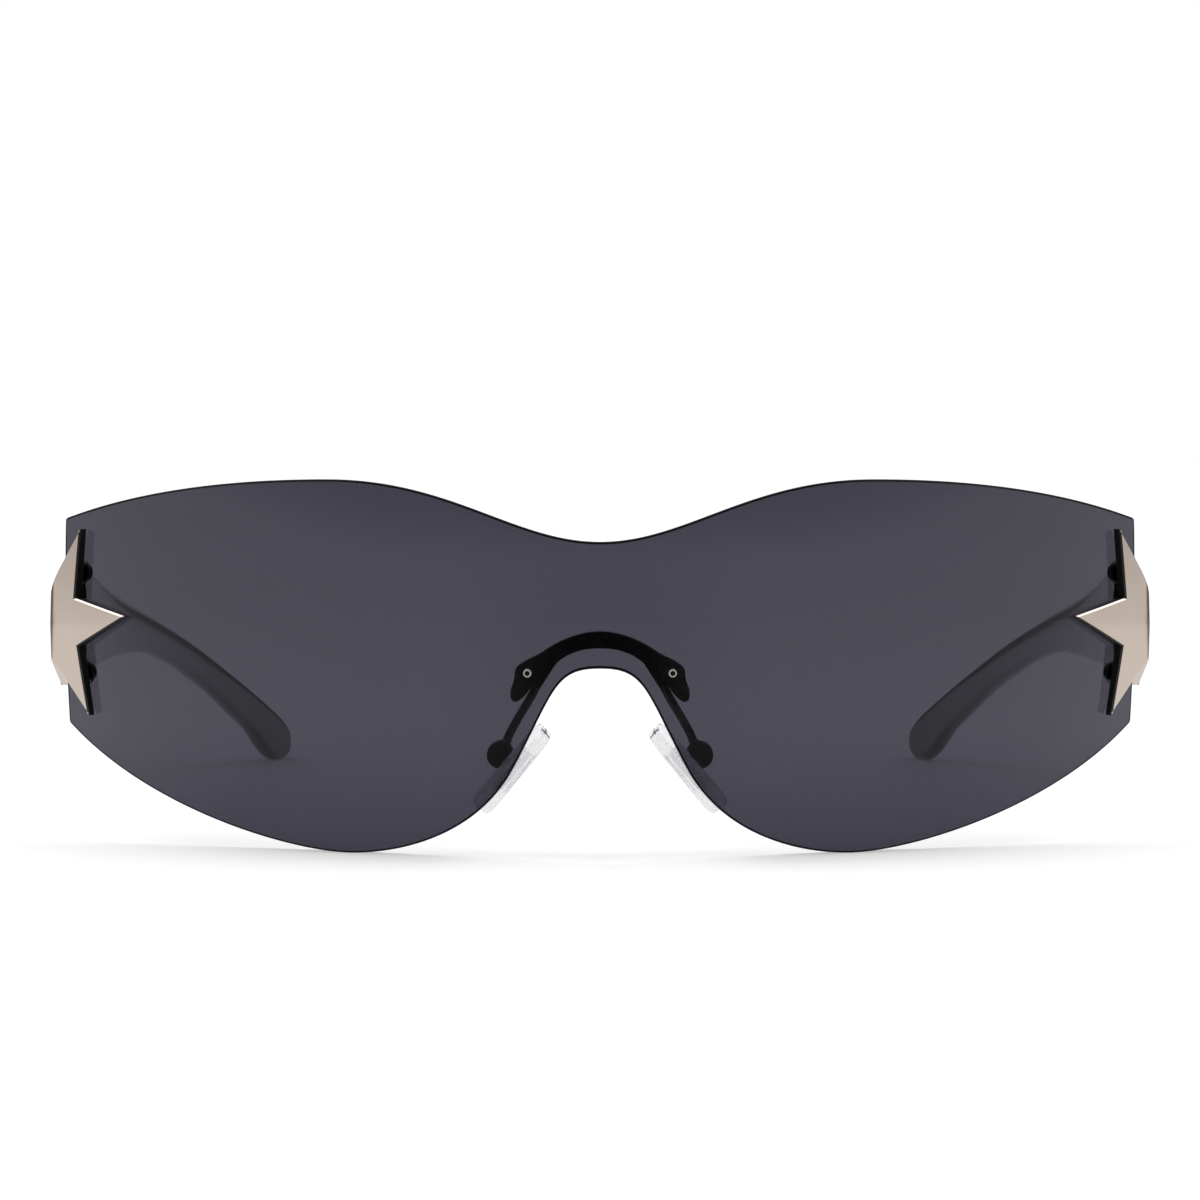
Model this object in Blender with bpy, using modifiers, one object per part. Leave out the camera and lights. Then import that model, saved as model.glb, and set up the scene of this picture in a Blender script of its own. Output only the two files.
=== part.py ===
"""Rimless wraparound sunglasses, standing on the lens and the temple tips.

X runs across the face, Y from the lens back to the temple tips, Z up. The origin is under the middle of
the bounding box. The right side is modelled, and the left side is its mirror image.
"""

import math

import bmesh
import bpy
from mathutils import Matrix, Vector
from mathutils.geometry import interpolate_bezier

# Overall frame
OVERALL_DEPTH = 0.158
CLEARANCE = 0.0003
FINE_CLEARANCE = 0.00015
CUT_OVERRUN = 0.004
MERGE_DISTANCE = 0.00003
CUT_TOLERANCE = 0.000003

# Shield lens: one toric sheet, bent round the face and crowned from top to bottom
LENS_HALF_WIDTH = 0.0722
LENS_HEIGHT = 0.0487
LENS_THICKNESS = 0.0020
LENS_BEND_RADIUS = 0.108
LENS_CROWN_RADIUS = 0.070
LENS_EQUATOR_HEIGHT = 0.024
LENS_TILT = math.radians(4)
# Bezier points as shares of the half width and the height, from the middle outwards
TOP_EDGE_SHARES = (
    ((0, 0.838), (0.151, 0.838), (0.262, 1), (0.487, 1)),
    ((0.487, 1), (0.677, 1), (0.851, 0.966), (1, 0.888)),
)
BOTTOM_EDGE_SHARES = (
    ((0, 0.508), (0.080, 0.508), (0.079, 0.454), (0.152, 0.246)),
    ((0.152, 0.246), (0.222, 0.046), (0.374, 0), (0.457, 0)),
    ((0.457, 0), (0.568, 0), (0.838, 0.103), (0.992, 0.324)),
)
LENS_COLUMNS = 28
LENS_ROWS = 8

# Nose bracket: an arch behind the lens with a lobe at each end
BRACKET_THICKNESS = 0.0016
BRACKET_HALF_WIDTH = 0.0115
BRACKET_HEIGHT = 0.0090
BRACKET_BASE_HEIGHT = 0.0204
# Outline of the right half as shares of the half width and the height, from the crown of the arch down
# its outer side, round the lobe to the notch, and back up its inner side
BRACKET_OUTLINE_SHARES = (
    ("AUTO", 0, 1),
    ("AUTO", 0.24, 0.955),
    ("AUTO", 0.47, 0.84),
    ("AUTO", 0.69, 0.67),
    ("AUTO", 0.83, 0.58),
    ("AUTO", 0.93, 0.47),
    ("AUTO", 0.945, 0.34),
    ("AUTO", 0.995, 0.12),
    ("AUTO", 0.96, 0.015),
    ("AUTO", 0.88, 0.04),
    ("VECTOR", 0.75, 0.21),
    ("VECTOR", 0.665, 0.19),
    ("VECTOR", 0.475, 0.56),
    ("AUTO", 0.32, 0.685),
    ("AUTO", 0, 0.76),
)

# Bracket screws, with their heads on the lens and hexagon nuts behind the bracket
BRACKET_SCREW_OFFSET = 0.0092
BRACKET_SCREW_HEIGHT = 0.0242
BRACKET_SCREW_HEAD_RADIUS = 0.0006
BRACKET_SCREW_HEAD_THICKNESS = 0.0004
BRACKET_SCREW_RADIUS = 0.0004
SOCKET_RADIUS = 0.00028
SOCKET_DEPTH = 0.00025
BRACKET_NUT_RADIUS = 0.0010
BRACKET_NUT_THICKNESS = 0.0009

# Nose pads, each on a screw that runs from front to back through its box
PAD_AXIS_OFFSET = 0.01285
PAD_AXIS_DEPTH = 0.0110
PAD_AXIS_HEIGHT = 0.0131
PAD_LENGTH = 0.0135
PAD_WIDTH = 0.0070
PAD_THICKNESS = 0.0018
PAD_TOP_WIDTH_SHARE = 0.78
PAD_STANDOFF = 0.0025
PAD_DROP = 0.0006
PAD_LEAN = math.radians(40)
PAD_SPLAY = math.radians(14)
INSERT_FOOT_LENGTH = 0.0060
INSERT_FOOT_WIDTH = 0.0030
INSERT_FOOT_THICKNESS = 0.0006
INSERT_NECK_LENGTH = 0.0015
INSERT_TAB_RADIUS = 0.00105
INSERT_TAB_THICKNESS = 0.0012
PAD_BOX_RADIUS = 0.00175
PAD_BOX_CHEEK = 0.0005
PAD_BOX_PAD_SIDE = 0.00085
PAD_SCREW_RADIUS = 0.00035
PAD_SCREW_HEAD_RADIUS = 0.00075
PAD_SCREW_HEAD_THICKNESS = 0.0003
PAD_ARM_RADIUS = 0.00055
PAD_ARM_APPROACH = math.radians(24)
# Where the arm lies behind the bracket, as shares of the bracket's half width and height
PAD_ARM_SOLDER_SHARES = (0.61, 0.44)
PAD_ARM_EDGE_SHARES = (0.705, 0.20)

# Star end pieces: a cast star that lies on the lens and turns the corner to the temple. Its outline has
# tips and valleys in turn, as angles and distances from the star's centre.
STAR_TIP_RADIUS = 0.0134
STAR_VALLEY_RADIUS = 0.0048
STAR_INWARD_TIP_SHARE = 0.91
STAR_HEIGHT = 0.0292
STAR_THICKNESS = 0.0017
# How much thinner it is a tip radius away from its centre: towards the nose, and up or down
STAR_INWARD_THINNING_SHARE = 0.60
STAR_UPRIGHT_THINNING_SHARE = 0.16
STAR_TIP_ANGLES = (6, 73, 150, 222, 294)
STAR_TIP_SHARES = (STAR_INWARD_TIP_SHARE, 1, 1, 1, 1)
STAR_VALLEY_ANGLES = (47, 114, 186, 258, 323)
STAR_TIP_ROUNDING = 0.0005
STAR_OVERHANG = 0.0001
STAR_SIDE_OFFSET = LENS_HALF_WIDTH + STAR_OVERHANG
STAR_CORNER_RADIUS = 0.0010
STAR_CORNER_AHEAD = 0.0003
STAR_CORNER_SWEEP = math.radians(50)
STAR_CORNER_STEPS = 4
STAR_STRIP = 0.0030

# Star screws, put in from behind the lens over a washer. Each has its rise above the star's centre and
# its inset from the star's side.
STAR_SCREW_SEATS = (("upper", 0.0070, 0.0017), ("lower", -0.0067, 0.0023))
STAR_SCREW_HEAD_RADIUS = 0.0011
STAR_SCREW_HEAD_THICKNESS = 0.0008
STAR_SCREW_RADIUS = 0.0005
STAR_SCREW_DEPTH = 0.0009
STAR_WASHER_RADIUS = 0.0016
STAR_WASHER_THICKNESS = 0.0003

# Temple hinge: two knuckles on the star and one on the temple's leaf. It is level with the star's
# centre and set back from the end of the lens.
HINGE_HEIGHT = STAR_HEIGHT
HINGE_SETBACK = 0.0044
KNUCKLE_RADIUS = 0.0015
LEAF_KNUCKLE_HEIGHT = 0.0035
STAR_KNUCKLE_HEIGHT = 0.0022
HINGE_SCREW_RADIUS = 0.0006
HINGE_SCREW_HEAD_RADIUS = 0.0011
HINGE_SCREW_HEAD_THICKNESS = 0.0006
LEAF_THICKNESS = 0.0008
LEAF_LENGTH = 0.0085
LEAF_HEIGHT = 0.0056
LEAF_PIN_RADIUS = 0.0006
LEAF_PIN_SHARE = 0.67

# Temples: a blade, deep at the hinge, that bows in to the head and drops to a rounded tip
TEMPLE_THICKNESS = 0.0026
TEMPLE_SETBACK = 0.0023
TEMPLE_STRAIGHT = 0.0107
TEMPLE_BOW_RADIUS = 0.376
TEMPLE_TIP_ROUNDING = 0.0022
TEMPLE_END_WIDTH_SHARE = 0.45
TEMPLE_ROUNDING = 0.0012
TEMPLE_HEIGHT = 0.0376
TEMPLE_STATIONS = 36
TEMPLE_CORNER_STEPS = 3
# Above 1, so that the sections stand closer together towards the tip
TEMPLE_STATION_POWER = 1.6
# Bezier points as shares of the temple's length and of its greatest height
TEMPLE_TOP_SHARES = (
    ((0, 0.997), (0.123, 0.902), (0.247, 0.838), (0.369, 0.768)),
    ((0.369, 0.768), (0.477, 0.705), (0.585, 0.632), (0.693, 0.524)),
    ((0.693, 0.524), (0.774, 0.442), (0.854, 0.353), (0.935, 0.241)),
    ((0.935, 0.241), (0.972, 0.191), (1, 0.135), (1, 0.090)),
)
TEMPLE_BOTTOM_SHARES = (
    ((0, 0.583), (0.123, 0.585), (0.247, 0.602), (0.369, 0.590)),
    ((0.369, 0.590), (0.477, 0.579), (0.585, 0.490), (0.693, 0.380)),
    ((0.693, 0.380), (0.747, 0.324), (0.800, 0.245), (0.854, 0.172)),
    ((0.854, 0.172), (0.892, 0.120), (0.925, 0), (0.962, 0)),
    ((0.962, 0), (0.966, 0), (0.972, 0), (0.976, 0)),
    ((0.976, 0), (0.992, 0), (1, 0.030), (1, 0.062)),
)

ROUND_SEGMENTS = 24
SMALL_SEGMENTS = 16
CURVE_SAMPLES = 16
BRACKET_CURVE_STEPS = 4
WIRE_CURVE_STEPS = 6
WIRE_SEGMENTS = 2
HEXAGON_SEGMENTS = 6
SOFTENING_STEPS = 2
SMOOTH_ANGLE = math.radians(35)
MIRROR_X = Matrix.Scale(-1, 4, Vector((1, 0, 0)))

MATERIALS = {
    "smoke_lens": ((0.070, 0.068, 0.080), 0.05, 0.0),
    "black_metal": ((0.012, 0.012, 0.013), 0.35, 0.6),
    "champagne_metal": ((0.52, 0.45, 0.40), 0.12, 1.0),
    "silver_steel": ((0.70, 0.70, 0.70), 0.20, 1.0),
    "clear_silicone": ((0.85, 0.85, 0.88), 0.15, 0.0),
    "dark_temple": ((0.045, 0.045, 0.052), 0.18, 0.0),
    "nylon": ((0.30, 0.30, 0.30), 0.50, 0.0),
}


# Scene, objects and materials


def clear_scene():
    for obj in list(bpy.data.objects):
        bpy.data.objects.remove(obj, do_unlink=True)


def new_collection(name):
    collection = bpy.data.collections.new(name)
    bpy.context.scene.collection.children.link(collection)
    return collection


def material(name):
    found = bpy.data.materials.get(name)
    if found:
        return found
    colour, roughness, metallic = MATERIALS[name]
    made = bpy.data.materials.new(name)
    made.use_nodes = True
    shader = made.node_tree.nodes["Principled BSDF"]
    shader.inputs["Base Color"].default_value = (*colour, 1)
    shader.inputs["Roughness"].default_value = roughness
    shader.inputs["Metallic"].default_value = metallic
    made.diffuse_color = (*colour, 1)
    return made


def new_empty(name, parent, location):
    empty = bpy.data.objects.new(name, None)
    PARTS.objects.link(empty)
    empty.parent = parent
    empty.location = location
    return empty


def new_part(name, mesh, parent, material_name, placing=None):
    part = bpy.data.objects.new(name, mesh)
    mesh.materials.clear()
    mesh.materials.append(material(material_name))
    PARTS.objects.link(part)
    part.parent = parent
    part.matrix_basis = placing or Matrix()
    smooth(mesh)
    return part


def new_cutter(name, mesh, parent, placing=None):
    cutter = bpy.data.objects.new(name, mesh)
    CUTTERS.objects.link(cutter)
    cutter.parent = parent
    cutter.matrix_basis = placing or Matrix()
    cutter.hide_render = True
    cutter.display_type = "WIRE"
    return cutter


def smooth(mesh):
    mesh.shade_smooth()
    mesh.set_sharp_from_angle(angle=SMOOTH_ANGLE)


def mesh_from(bm, name):
    mesh = bpy.data.meshes.new(name)
    bm.to_mesh(mesh)
    bm.free()
    return mesh


def boolean(part, cutter, operation="DIFFERENCE"):
    modifier = part.modifiers.new(cutter.name, "BOOLEAN")
    modifier.operation = operation
    modifier.object = cutter


def evaluated_mesh(part):
    graph = bpy.context.evaluated_depsgraph_get()
    return bpy.data.meshes.new_from_object(part.evaluated_get(graph), depsgraph=graph)


def mirror_part(part, name, parent):
    """The left-hand copy of a finished right-hand part."""
    bpy.context.view_layer.update()
    mesh = evaluated_mesh(part)
    mesh.name = name
    mesh.transform(MIRROR_X)
    mesh.flip_normals()
    copy = bpy.data.objects.new(name, mesh)
    PARTS.objects.link(copy)
    copy.parent = parent
    copy.matrix_basis = MIRROR_X @ part.matrix_basis @ MIRROR_X
    return copy


# Shapes


def cylinder_mesh(name, radius, length, segments=ROUND_SEGMENTS):
    """A cylinder along Z, centred on the origin."""
    bm = bmesh.new()
    bmesh.ops.create_cone(
        bm, cap_ends=True, segments=segments, radius1=radius, radius2=radius, depth=length
    )
    return mesh_from(bm, name)


def box_mesh(name, low, high):
    bm = bmesh.new()
    bmesh.ops.create_cube(bm, size=1)
    low, high = Vector(low), Vector(high)
    bmesh.ops.scale(bm, vec=high - low, verts=bm.verts)
    bmesh.ops.translate(bm, vec=(low + high) / 2, verts=bm.verts)
    return mesh_from(bm, name)


def turned_part(name, profile, parent, material_name, placing):
    """A part turned round its own Z axis, from (radius, height) points that run down its outer side."""
    bm = bmesh.new()
    points = [bm.verts.new((radius, 0, height)) for radius, height in profile]
    for start, end in zip(points, points[1:]):
        bm.edges.new((start, end))
    if profile[0][0] > 0:
        bm.edges.new((points[-1], points[0]))
    part = new_part(name, mesh_from(bm, name), parent, material_name, placing)
    screw = part.modifiers.new("Turn", "SCREW")
    screw.steps = SMALL_SEGMENTS
    screw.render_steps = SMALL_SEGMENTS
    screw.use_merge_vertices = True
    screw.merge_threshold = MERGE_DISTANCE
    screw.use_smooth_shade = True
    return part


def bezier_chain(segments, width, height):
    """Points along a chain of Bezier segments given as shares of a width and a height."""
    points = []
    for segment in segments:
        corners = [Vector((across * width, up * height, 0)) for across, up in segment]
        sampled = interpolate_bezier(*corners, CURVE_SAMPLES)
        points.extend(sampled[1:] if points else sampled)
    return points


def point_along(points, share):
    """The point at this share of a polyline's length."""
    lengths = [(end - start).length for start, end in zip(points, points[1:])]
    left = share * sum(lengths)
    for start, end, length in zip(points, points[1:], lengths):
        if left <= length:
            return start.lerp(end, left / length)
        left -= length
    return points[-1].copy()


# Shield lens


def crown_drop(height):
    """How far the crown has fallen back at this height."""
    rise = height - LENS_EQUATOR_HEIGHT
    return LENS_CROWN_RADIUS - math.sqrt(LENS_CROWN_RADIUS**2 - rise**2)


def bend_centre_depth(height):
    return LENS_BEND_RADIUS + (LENS_EQUATOR_HEIGHT - height) * math.tan(LENS_TILT)


def lens_depth(across, height):
    """Depth of the lens's front face."""
    radius = LENS_BEND_RADIUS - crown_drop(height)
    return bend_centre_depth(height) - math.sqrt(radius**2 - across**2)


def lens_normal(across, height):
    """Outward normal of the lens's front face."""
    radius = LENS_BEND_RADIUS - crown_drop(height)
    level = math.sqrt(radius**2 - across**2)
    rise = height - LENS_EQUATOR_HEIGHT
    crown_slope = rise / math.sqrt(LENS_CROWN_RADIUS**2 - rise**2)
    slope_up = crown_slope * radius / level - math.tan(LENS_TILT)
    return Vector((across / level, -1, slope_up)).normalized()


def on_lens(across, height):
    """A frame on the lens's front face, with its Z axis along the outward normal."""
    place = Vector((across, lens_depth(across, height), height))
    turn = lens_normal(across, height).to_track_quat("Z", "Y")
    return Matrix.Translation(place) @ turn.to_matrix().to_4x4()


def lens_back(across, height):
    """Depth of the lens's back face."""
    return lens_depth(across, height) + LENS_THICKNESS / -lens_normal(across, height).y


def make_lens(parent):
    """A toric sheet extruded straight back, so that its rim runs along the way the mould opens."""
    top = bezier_chain(TOP_EDGE_SHARES, LENS_HALF_WIDTH, LENS_HEIGHT)
    bottom = bezier_chain(BOTTOM_EDGE_SHARES, LENS_HALF_WIDTH, LENS_HEIGHT)
    bm = bmesh.new()
    bmesh.ops.create_grid(bm, x_segments=2 * LENS_COLUMNS, y_segments=LENS_ROWS, size=1)
    for vert in bm.verts:
        share = abs(vert.co.x)
        low, high = point_along(bottom, share), point_along(top, share)
        flat = low.lerp(high, (vert.co.y + 1) / 2)
        vert.co = (math.copysign(flat.x, vert.co.x), lens_depth(flat.x, flat.y), flat.y)
    behind = bmesh.ops.extrude_face_region(bm, geom=bm.faces[:])["geom"]
    for vert in behind:
        if isinstance(vert, bmesh.types.BMVert):
            vert.co.y = lens_back(vert.co.x, vert.co.z)
    bmesh.ops.recalc_face_normals(bm, faces=bm.faces)
    return new_part("shield_lens", mesh_from(bm, "shield_lens"), parent, "smoke_lens")


def drill_lens(lens, parent, name, across, height, radius):
    """A hole square to the lens on each side of it."""
    for side, placing in both_sides(on_lens(across, height)):
        mesh = cylinder_mesh(f"{side}_{name}", radius, 2 * (LENS_THICKNESS + CUT_OVERRUN), SMALL_SEGMENTS)
        boolean(lens, new_cutter(f"{side}_{name}", mesh, parent, placing))


def both_sides(placing):
    return (("right", placing), ("left", MIRROR_X @ placing @ MIRROR_X))


# Nose bracket with its screws and nuts


def bracket_front(across, height):
    """Depth of the bracket's front face, just clear of the back of the lens."""
    return lens_back(across, height) + CLEARANCE


def bracket_spline(curve):
    """The closed outline of the bracket, both halves, in the curve's own plane."""
    half = [
        (handle, across * BRACKET_HALF_WIDTH, BRACKET_BASE_HEIGHT + up * BRACKET_HEIGHT)
        for handle, across, up in BRACKET_OUTLINE_SHARES
    ]
    outline = half + [(handle, -across, up) for handle, across, up in half[-2:0:-1]]
    spline = curve.splines.new("BEZIER")
    spline.bezier_points.add(len(outline) - 1)
    for point, (handle, across, up) in zip(spline.bezier_points, outline):
        point.co = (across, up, 0)
        point.handle_left_type = point.handle_right_type = handle
    spline.use_cyclic_u = True
    spline.resolution_u = BRACKET_CURVE_STEPS


def make_bracket(parent):
    curve = bpy.data.curves.new("nose_bracket", "CURVE")
    curve.dimensions = "2D"
    curve.fill_mode = "BOTH"
    curve.extrude = BRACKET_THICKNESS / 2
    bracket_spline(curve)
    flat = bpy.data.objects.new("nose_bracket_outline", curve)
    PARTS.objects.link(flat)
    bpy.context.view_layer.update()
    mesh = evaluated_mesh(flat)
    bpy.data.objects.remove(flat)
    bm = bmesh.new()
    bm.from_mesh(mesh)
    bmesh.ops.remove_doubles(bm, verts=bm.verts, dist=MERGE_DISTANCE)
    bmesh.ops.triangulate(bm, faces=bm.faces)
    for vert in bm.verts:
        across, height, behind = vert.co.x, vert.co.y, BRACKET_THICKNESS / 2 - vert.co.z
        vert.co = (across, bracket_front(across, height) + behind, height)
    bmesh.ops.recalc_face_normals(bm, faces=bm.faces)
    bracket = new_part("nose_bracket", mesh_from(bm, "nose_bracket"), parent, "black_metal")
    place = on_lens(BRACKET_SCREW_OFFSET, BRACKET_SCREW_HEIGHT)
    reach = 2 * (LENS_THICKNESS + BRACKET_THICKNESS + CUT_OVERRUN)
    radius = BRACKET_SCREW_RADIUS + FINE_CLEARANCE
    for side, placing in both_sides(place):
        mesh = cylinder_mesh(f"{side}_bracket_hole", radius, reach, SMALL_SEGMENTS)
        boolean(bracket, new_cutter(f"{side}_bracket_hole", mesh, parent, placing))
    return bracket


def make_bracket_fasteners(parent):
    """The right screw and nut. The screw's own Z axis points out of the lens."""
    place = on_lens(BRACKET_SCREW_OFFSET, BRACKET_SCREW_HEIGHT)
    seat = FINE_CLEARANCE
    head_top = seat + BRACKET_SCREW_HEAD_THICKNESS
    nut_front = -(LENS_THICKNESS + BRACKET_THICKNESS + 2 * CLEARANCE)
    nut_back = nut_front - BRACKET_NUT_THICKNESS
    profile = (
        (0, head_top - SOCKET_DEPTH),
        (SOCKET_RADIUS, head_top - SOCKET_DEPTH),
        (SOCKET_RADIUS, head_top),
        (BRACKET_SCREW_HEAD_RADIUS - BRACKET_SCREW_HEAD_THICKNESS / 2, head_top),
        (BRACKET_SCREW_HEAD_RADIUS, head_top - BRACKET_SCREW_HEAD_THICKNESS / 2),
        (BRACKET_SCREW_HEAD_RADIUS, seat),
        (BRACKET_SCREW_RADIUS, seat),
        (BRACKET_SCREW_RADIUS, nut_back),
        (0, nut_back),
    )
    screw = turned_part("right_bracket_screw", profile, parent, "silver_steel", place)
    nut_place = place @ Matrix.Translation((0, 0, (nut_front + nut_back) / 2))
    nut_mesh = cylinder_mesh("right_bracket_nut", BRACKET_NUT_RADIUS, BRACKET_NUT_THICKNESS, HEXAGON_SEGMENTS)
    nut = new_part("right_bracket_nut", nut_mesh, parent, "black_metal", nut_place)
    bore = BRACKET_SCREW_RADIUS + FINE_CLEARANCE
    bore_mesh = cylinder_mesh("right_nut_bore", bore, BRACKET_NUT_THICKNESS + CUT_OVERRUN, SMALL_SEGMENTS)
    boolean(nut, new_cutter("right_nut_bore", bore_mesh, parent, nut_place))
    return screw, nut


# Nose pads: arm, box, screw, insert and silicone pad


def lean_frame():
    """Turns the pad's upright into its lean. Its X axis points away from the nose, its Y axis back."""
    return Matrix.Rotation(-PAD_LEAN, 4, "Y")


def pad_frame():
    """The silicone pad's own frame, seen from the pad screw's middle."""
    turn = lean_frame() @ Matrix.Rotation(-PAD_SPLAY, 4, "Z")
    return turn @ Matrix.Translation((-PAD_STANDOFF, 0, -PAD_DROP))


def pad_box_half_depth():
    return INSERT_TAB_THICKNESS / 2 + CLEARANCE + PAD_BOX_CHEEK


def behind_bracket(across_share, up_share):
    """A place for the arm's middle against the back of the bracket."""
    across = across_share * BRACKET_HALF_WIDTH
    height = BRACKET_BASE_HEIGHT + up_share * BRACKET_HEIGHT
    back = bracket_front(across, height) + BRACKET_THICKNESS
    return Vector((across, back + CLEARANCE + PAD_ARM_RADIUS, height))


def make_pad_arm(parent):
    """A wire soldered up the back of the bracket, running down and back to the top of the pad box."""
    approach = Vector((-math.sin(PAD_ARM_APPROACH), 0, math.cos(PAD_ARM_APPROACH)))
    box = Vector((PAD_AXIS_OFFSET, PAD_AXIS_DEPTH, PAD_AXIS_HEIGHT))
    end = box + approach * (PAD_BOX_RADIUS + CLEARANCE)
    edge = behind_bracket(*PAD_ARM_EDGE_SHARES)
    curve = bpy.data.curves.new("right_pad_arm", "CURVE")
    curve.dimensions = "3D"
    curve.bevel_depth = PAD_ARM_RADIUS
    curve.bevel_resolution = WIRE_SEGMENTS
    curve.use_fill_caps = True
    spline = curve.splines.new("BEZIER")
    spline.resolution_u = WIRE_CURVE_STEPS
    spline.bezier_points.add(2)
    for point, place in zip(spline.bezier_points, (behind_bracket(*PAD_ARM_SOLDER_SHARES), edge, end)):
        point.co = place
        point.handle_left_type = point.handle_right_type = "AUTO"
    last = spline.bezier_points[-1]
    last.handle_left_type = "FREE"
    last.handle_left = end + approach * (edge - end).length / 3
    arm = bpy.data.objects.new("right_pad_arm", curve)
    arm.parent = parent
    curve.materials.append(material("black_metal"))
    PARTS.objects.link(arm)
    return arm


def make_pad_box(pivot):
    """A folded channel, open towards the pad, whose two cheeks hold the pad screw."""
    depth = pad_box_half_depth()
    lean = lean_frame()
    round_mesh = cylinder_mesh("right_pad_box", PAD_BOX_RADIUS, 2 * depth)
    round_mesh.transform(lean @ Matrix.Rotation(math.pi / 2, 4, "X"))
    box = new_part("right_pad_box", round_mesh, pivot, "black_metal")
    flat = box_mesh(
        "right_pad_box_flat",
        (-PAD_BOX_RADIUS - CUT_OVERRUN, -depth - CUT_OVERRUN, -PAD_BOX_RADIUS - CUT_OVERRUN),
        (-PAD_BOX_PAD_SIDE, depth + CUT_OVERRUN, PAD_BOX_RADIUS + CUT_OVERRUN),
    )
    boolean(box, new_cutter("right_pad_box_flat", flat, pivot, lean))
    slot_half = INSERT_TAB_THICKNESS / 2 + CLEARANCE
    slot = box_mesh(
        "right_pad_box_slot",
        (-PAD_BOX_RADIUS - CUT_OVERRUN, -slot_half, -PAD_BOX_RADIUS - CUT_OVERRUN),
        (INSERT_TAB_RADIUS + CLEARANCE, slot_half, PAD_BOX_RADIUS + CUT_OVERRUN),
    )
    boolean(box, new_cutter("right_pad_box_slot", slot, pivot, lean))
    along_depth = Matrix.Rotation(math.pi / 2, 4, "X")
    hole = cylinder_mesh(
        "right_pad_box_hole", PAD_SCREW_RADIUS + FINE_CLEARANCE, 2 * (depth + CUT_OVERRUN), SMALL_SEGMENTS
    )
    boolean(box, new_cutter("right_pad_box_hole", hole, pivot, along_depth))
    return box


def make_pad_screw(pivot):
    """Its head is at the front, against the box's front cheek."""
    seat = pad_box_half_depth() + FINE_CLEARANCE
    top = seat + PAD_SCREW_HEAD_THICKNESS
    profile = (
        (0, top),
        (PAD_SCREW_HEAD_RADIUS, top),
        (PAD_SCREW_HEAD_RADIUS, seat),
        (PAD_SCREW_RADIUS, seat),
        (PAD_SCREW_RADIUS, -pad_box_half_depth()),
        (0, -pad_box_half_depth()),
    )
    towards_front = Matrix.Rotation(math.pi / 2, 4, "X")
    return turned_part("right_pad_screw", profile, pivot, "black_metal", towards_front)


def insert_foot(name, growth):
    half = Vector((INSERT_FOOT_THICKNESS, INSERT_FOOT_WIDTH, INSERT_FOOT_LENGTH)) / 2
    grown = half + Vector((growth, growth, growth))
    mesh = box_mesh(name, -grown, grown)
    mesh.transform(pad_frame())
    return mesh


def insert_neck(name, growth):
    """A block from the tab down into the foot, square to the pad screw."""
    half = Vector((0, INSERT_TAB_THICKNESS, INSERT_NECK_LENGTH)) / 2
    middle = -PAD_DROP / 2
    low = (-PAD_STANDOFF, -half.y - growth, middle - half.z - growth)
    high = (0, half.y + growth, middle + half.z + growth)
    mesh = box_mesh(name, low, high)
    mesh.transform(lean_frame())
    return mesh


def make_pad_insert(pivot):
    tab_turn = lean_frame() @ Matrix.Rotation(math.pi / 2, 4, "X")
    tab = cylinder_mesh("right_pad_insert", INSERT_TAB_RADIUS, INSERT_TAB_THICKNESS)
    tab.transform(tab_turn)
    insert = new_part("right_pad_insert", tab, pivot, "black_metal")
    neck = new_cutter("right_insert_neck", insert_neck("right_insert_neck", 0), pivot)
    foot = new_cutter("right_insert_foot", insert_foot("right_insert_foot", 0), pivot)
    boolean(insert, neck, "UNION")
    boolean(insert, foot, "UNION")
    hole = cylinder_mesh(
        "right_insert_hole",
        PAD_SCREW_RADIUS + FINE_CLEARANCE,
        INSERT_TAB_THICKNESS + CUT_OVERRUN,
        SMALL_SEGMENTS,
    )
    along_depth = Matrix.Rotation(math.pi / 2, 4, "X")
    boolean(insert, new_cutter("right_insert_hole", hole, pivot, along_depth))
    return insert


def make_nose_pad(pivot):
    """A soft leaf, narrower at the top, with a pocket at its back for the insert."""
    bm = bmesh.new()
    bmesh.ops.create_cube(bm, size=1)
    bmesh.ops.subdivide_edges(bm, edges=bm.edges, cuts=2, use_grid_fill=True)
    for vert in bm.verts:
        top_share = vert.co.z + 0.5
        vert.co.y *= 1 + (PAD_TOP_WIDTH_SHARE - 1) * top_share
    bmesh.ops.scale(bm, vec=(PAD_THICKNESS, PAD_WIDTH, PAD_LENGTH), verts=bm.verts)
    bmesh.ops.transform(bm, matrix=pad_frame(), verts=bm.verts)
    pad = new_part("right_nose_pad", mesh_from(bm, "right_nose_pad"), pivot, "clear_silicone")
    soften = pad.modifiers.new("Soft", "SUBSURF")
    soften.levels = SOFTENING_STEPS
    soften.render_levels = SOFTENING_STEPS
    pocket = new_cutter("right_pad_pocket", insert_foot("right_pad_pocket", FINE_CLEARANCE), pivot)
    mouth = new_cutter("right_pad_mouth", insert_neck("right_pad_mouth", CLEARANCE), pivot)
    boolean(pad, pocket)
    boolean(pad, mouth)
    return pad


# Star end pieces with their screws and washers


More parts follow.
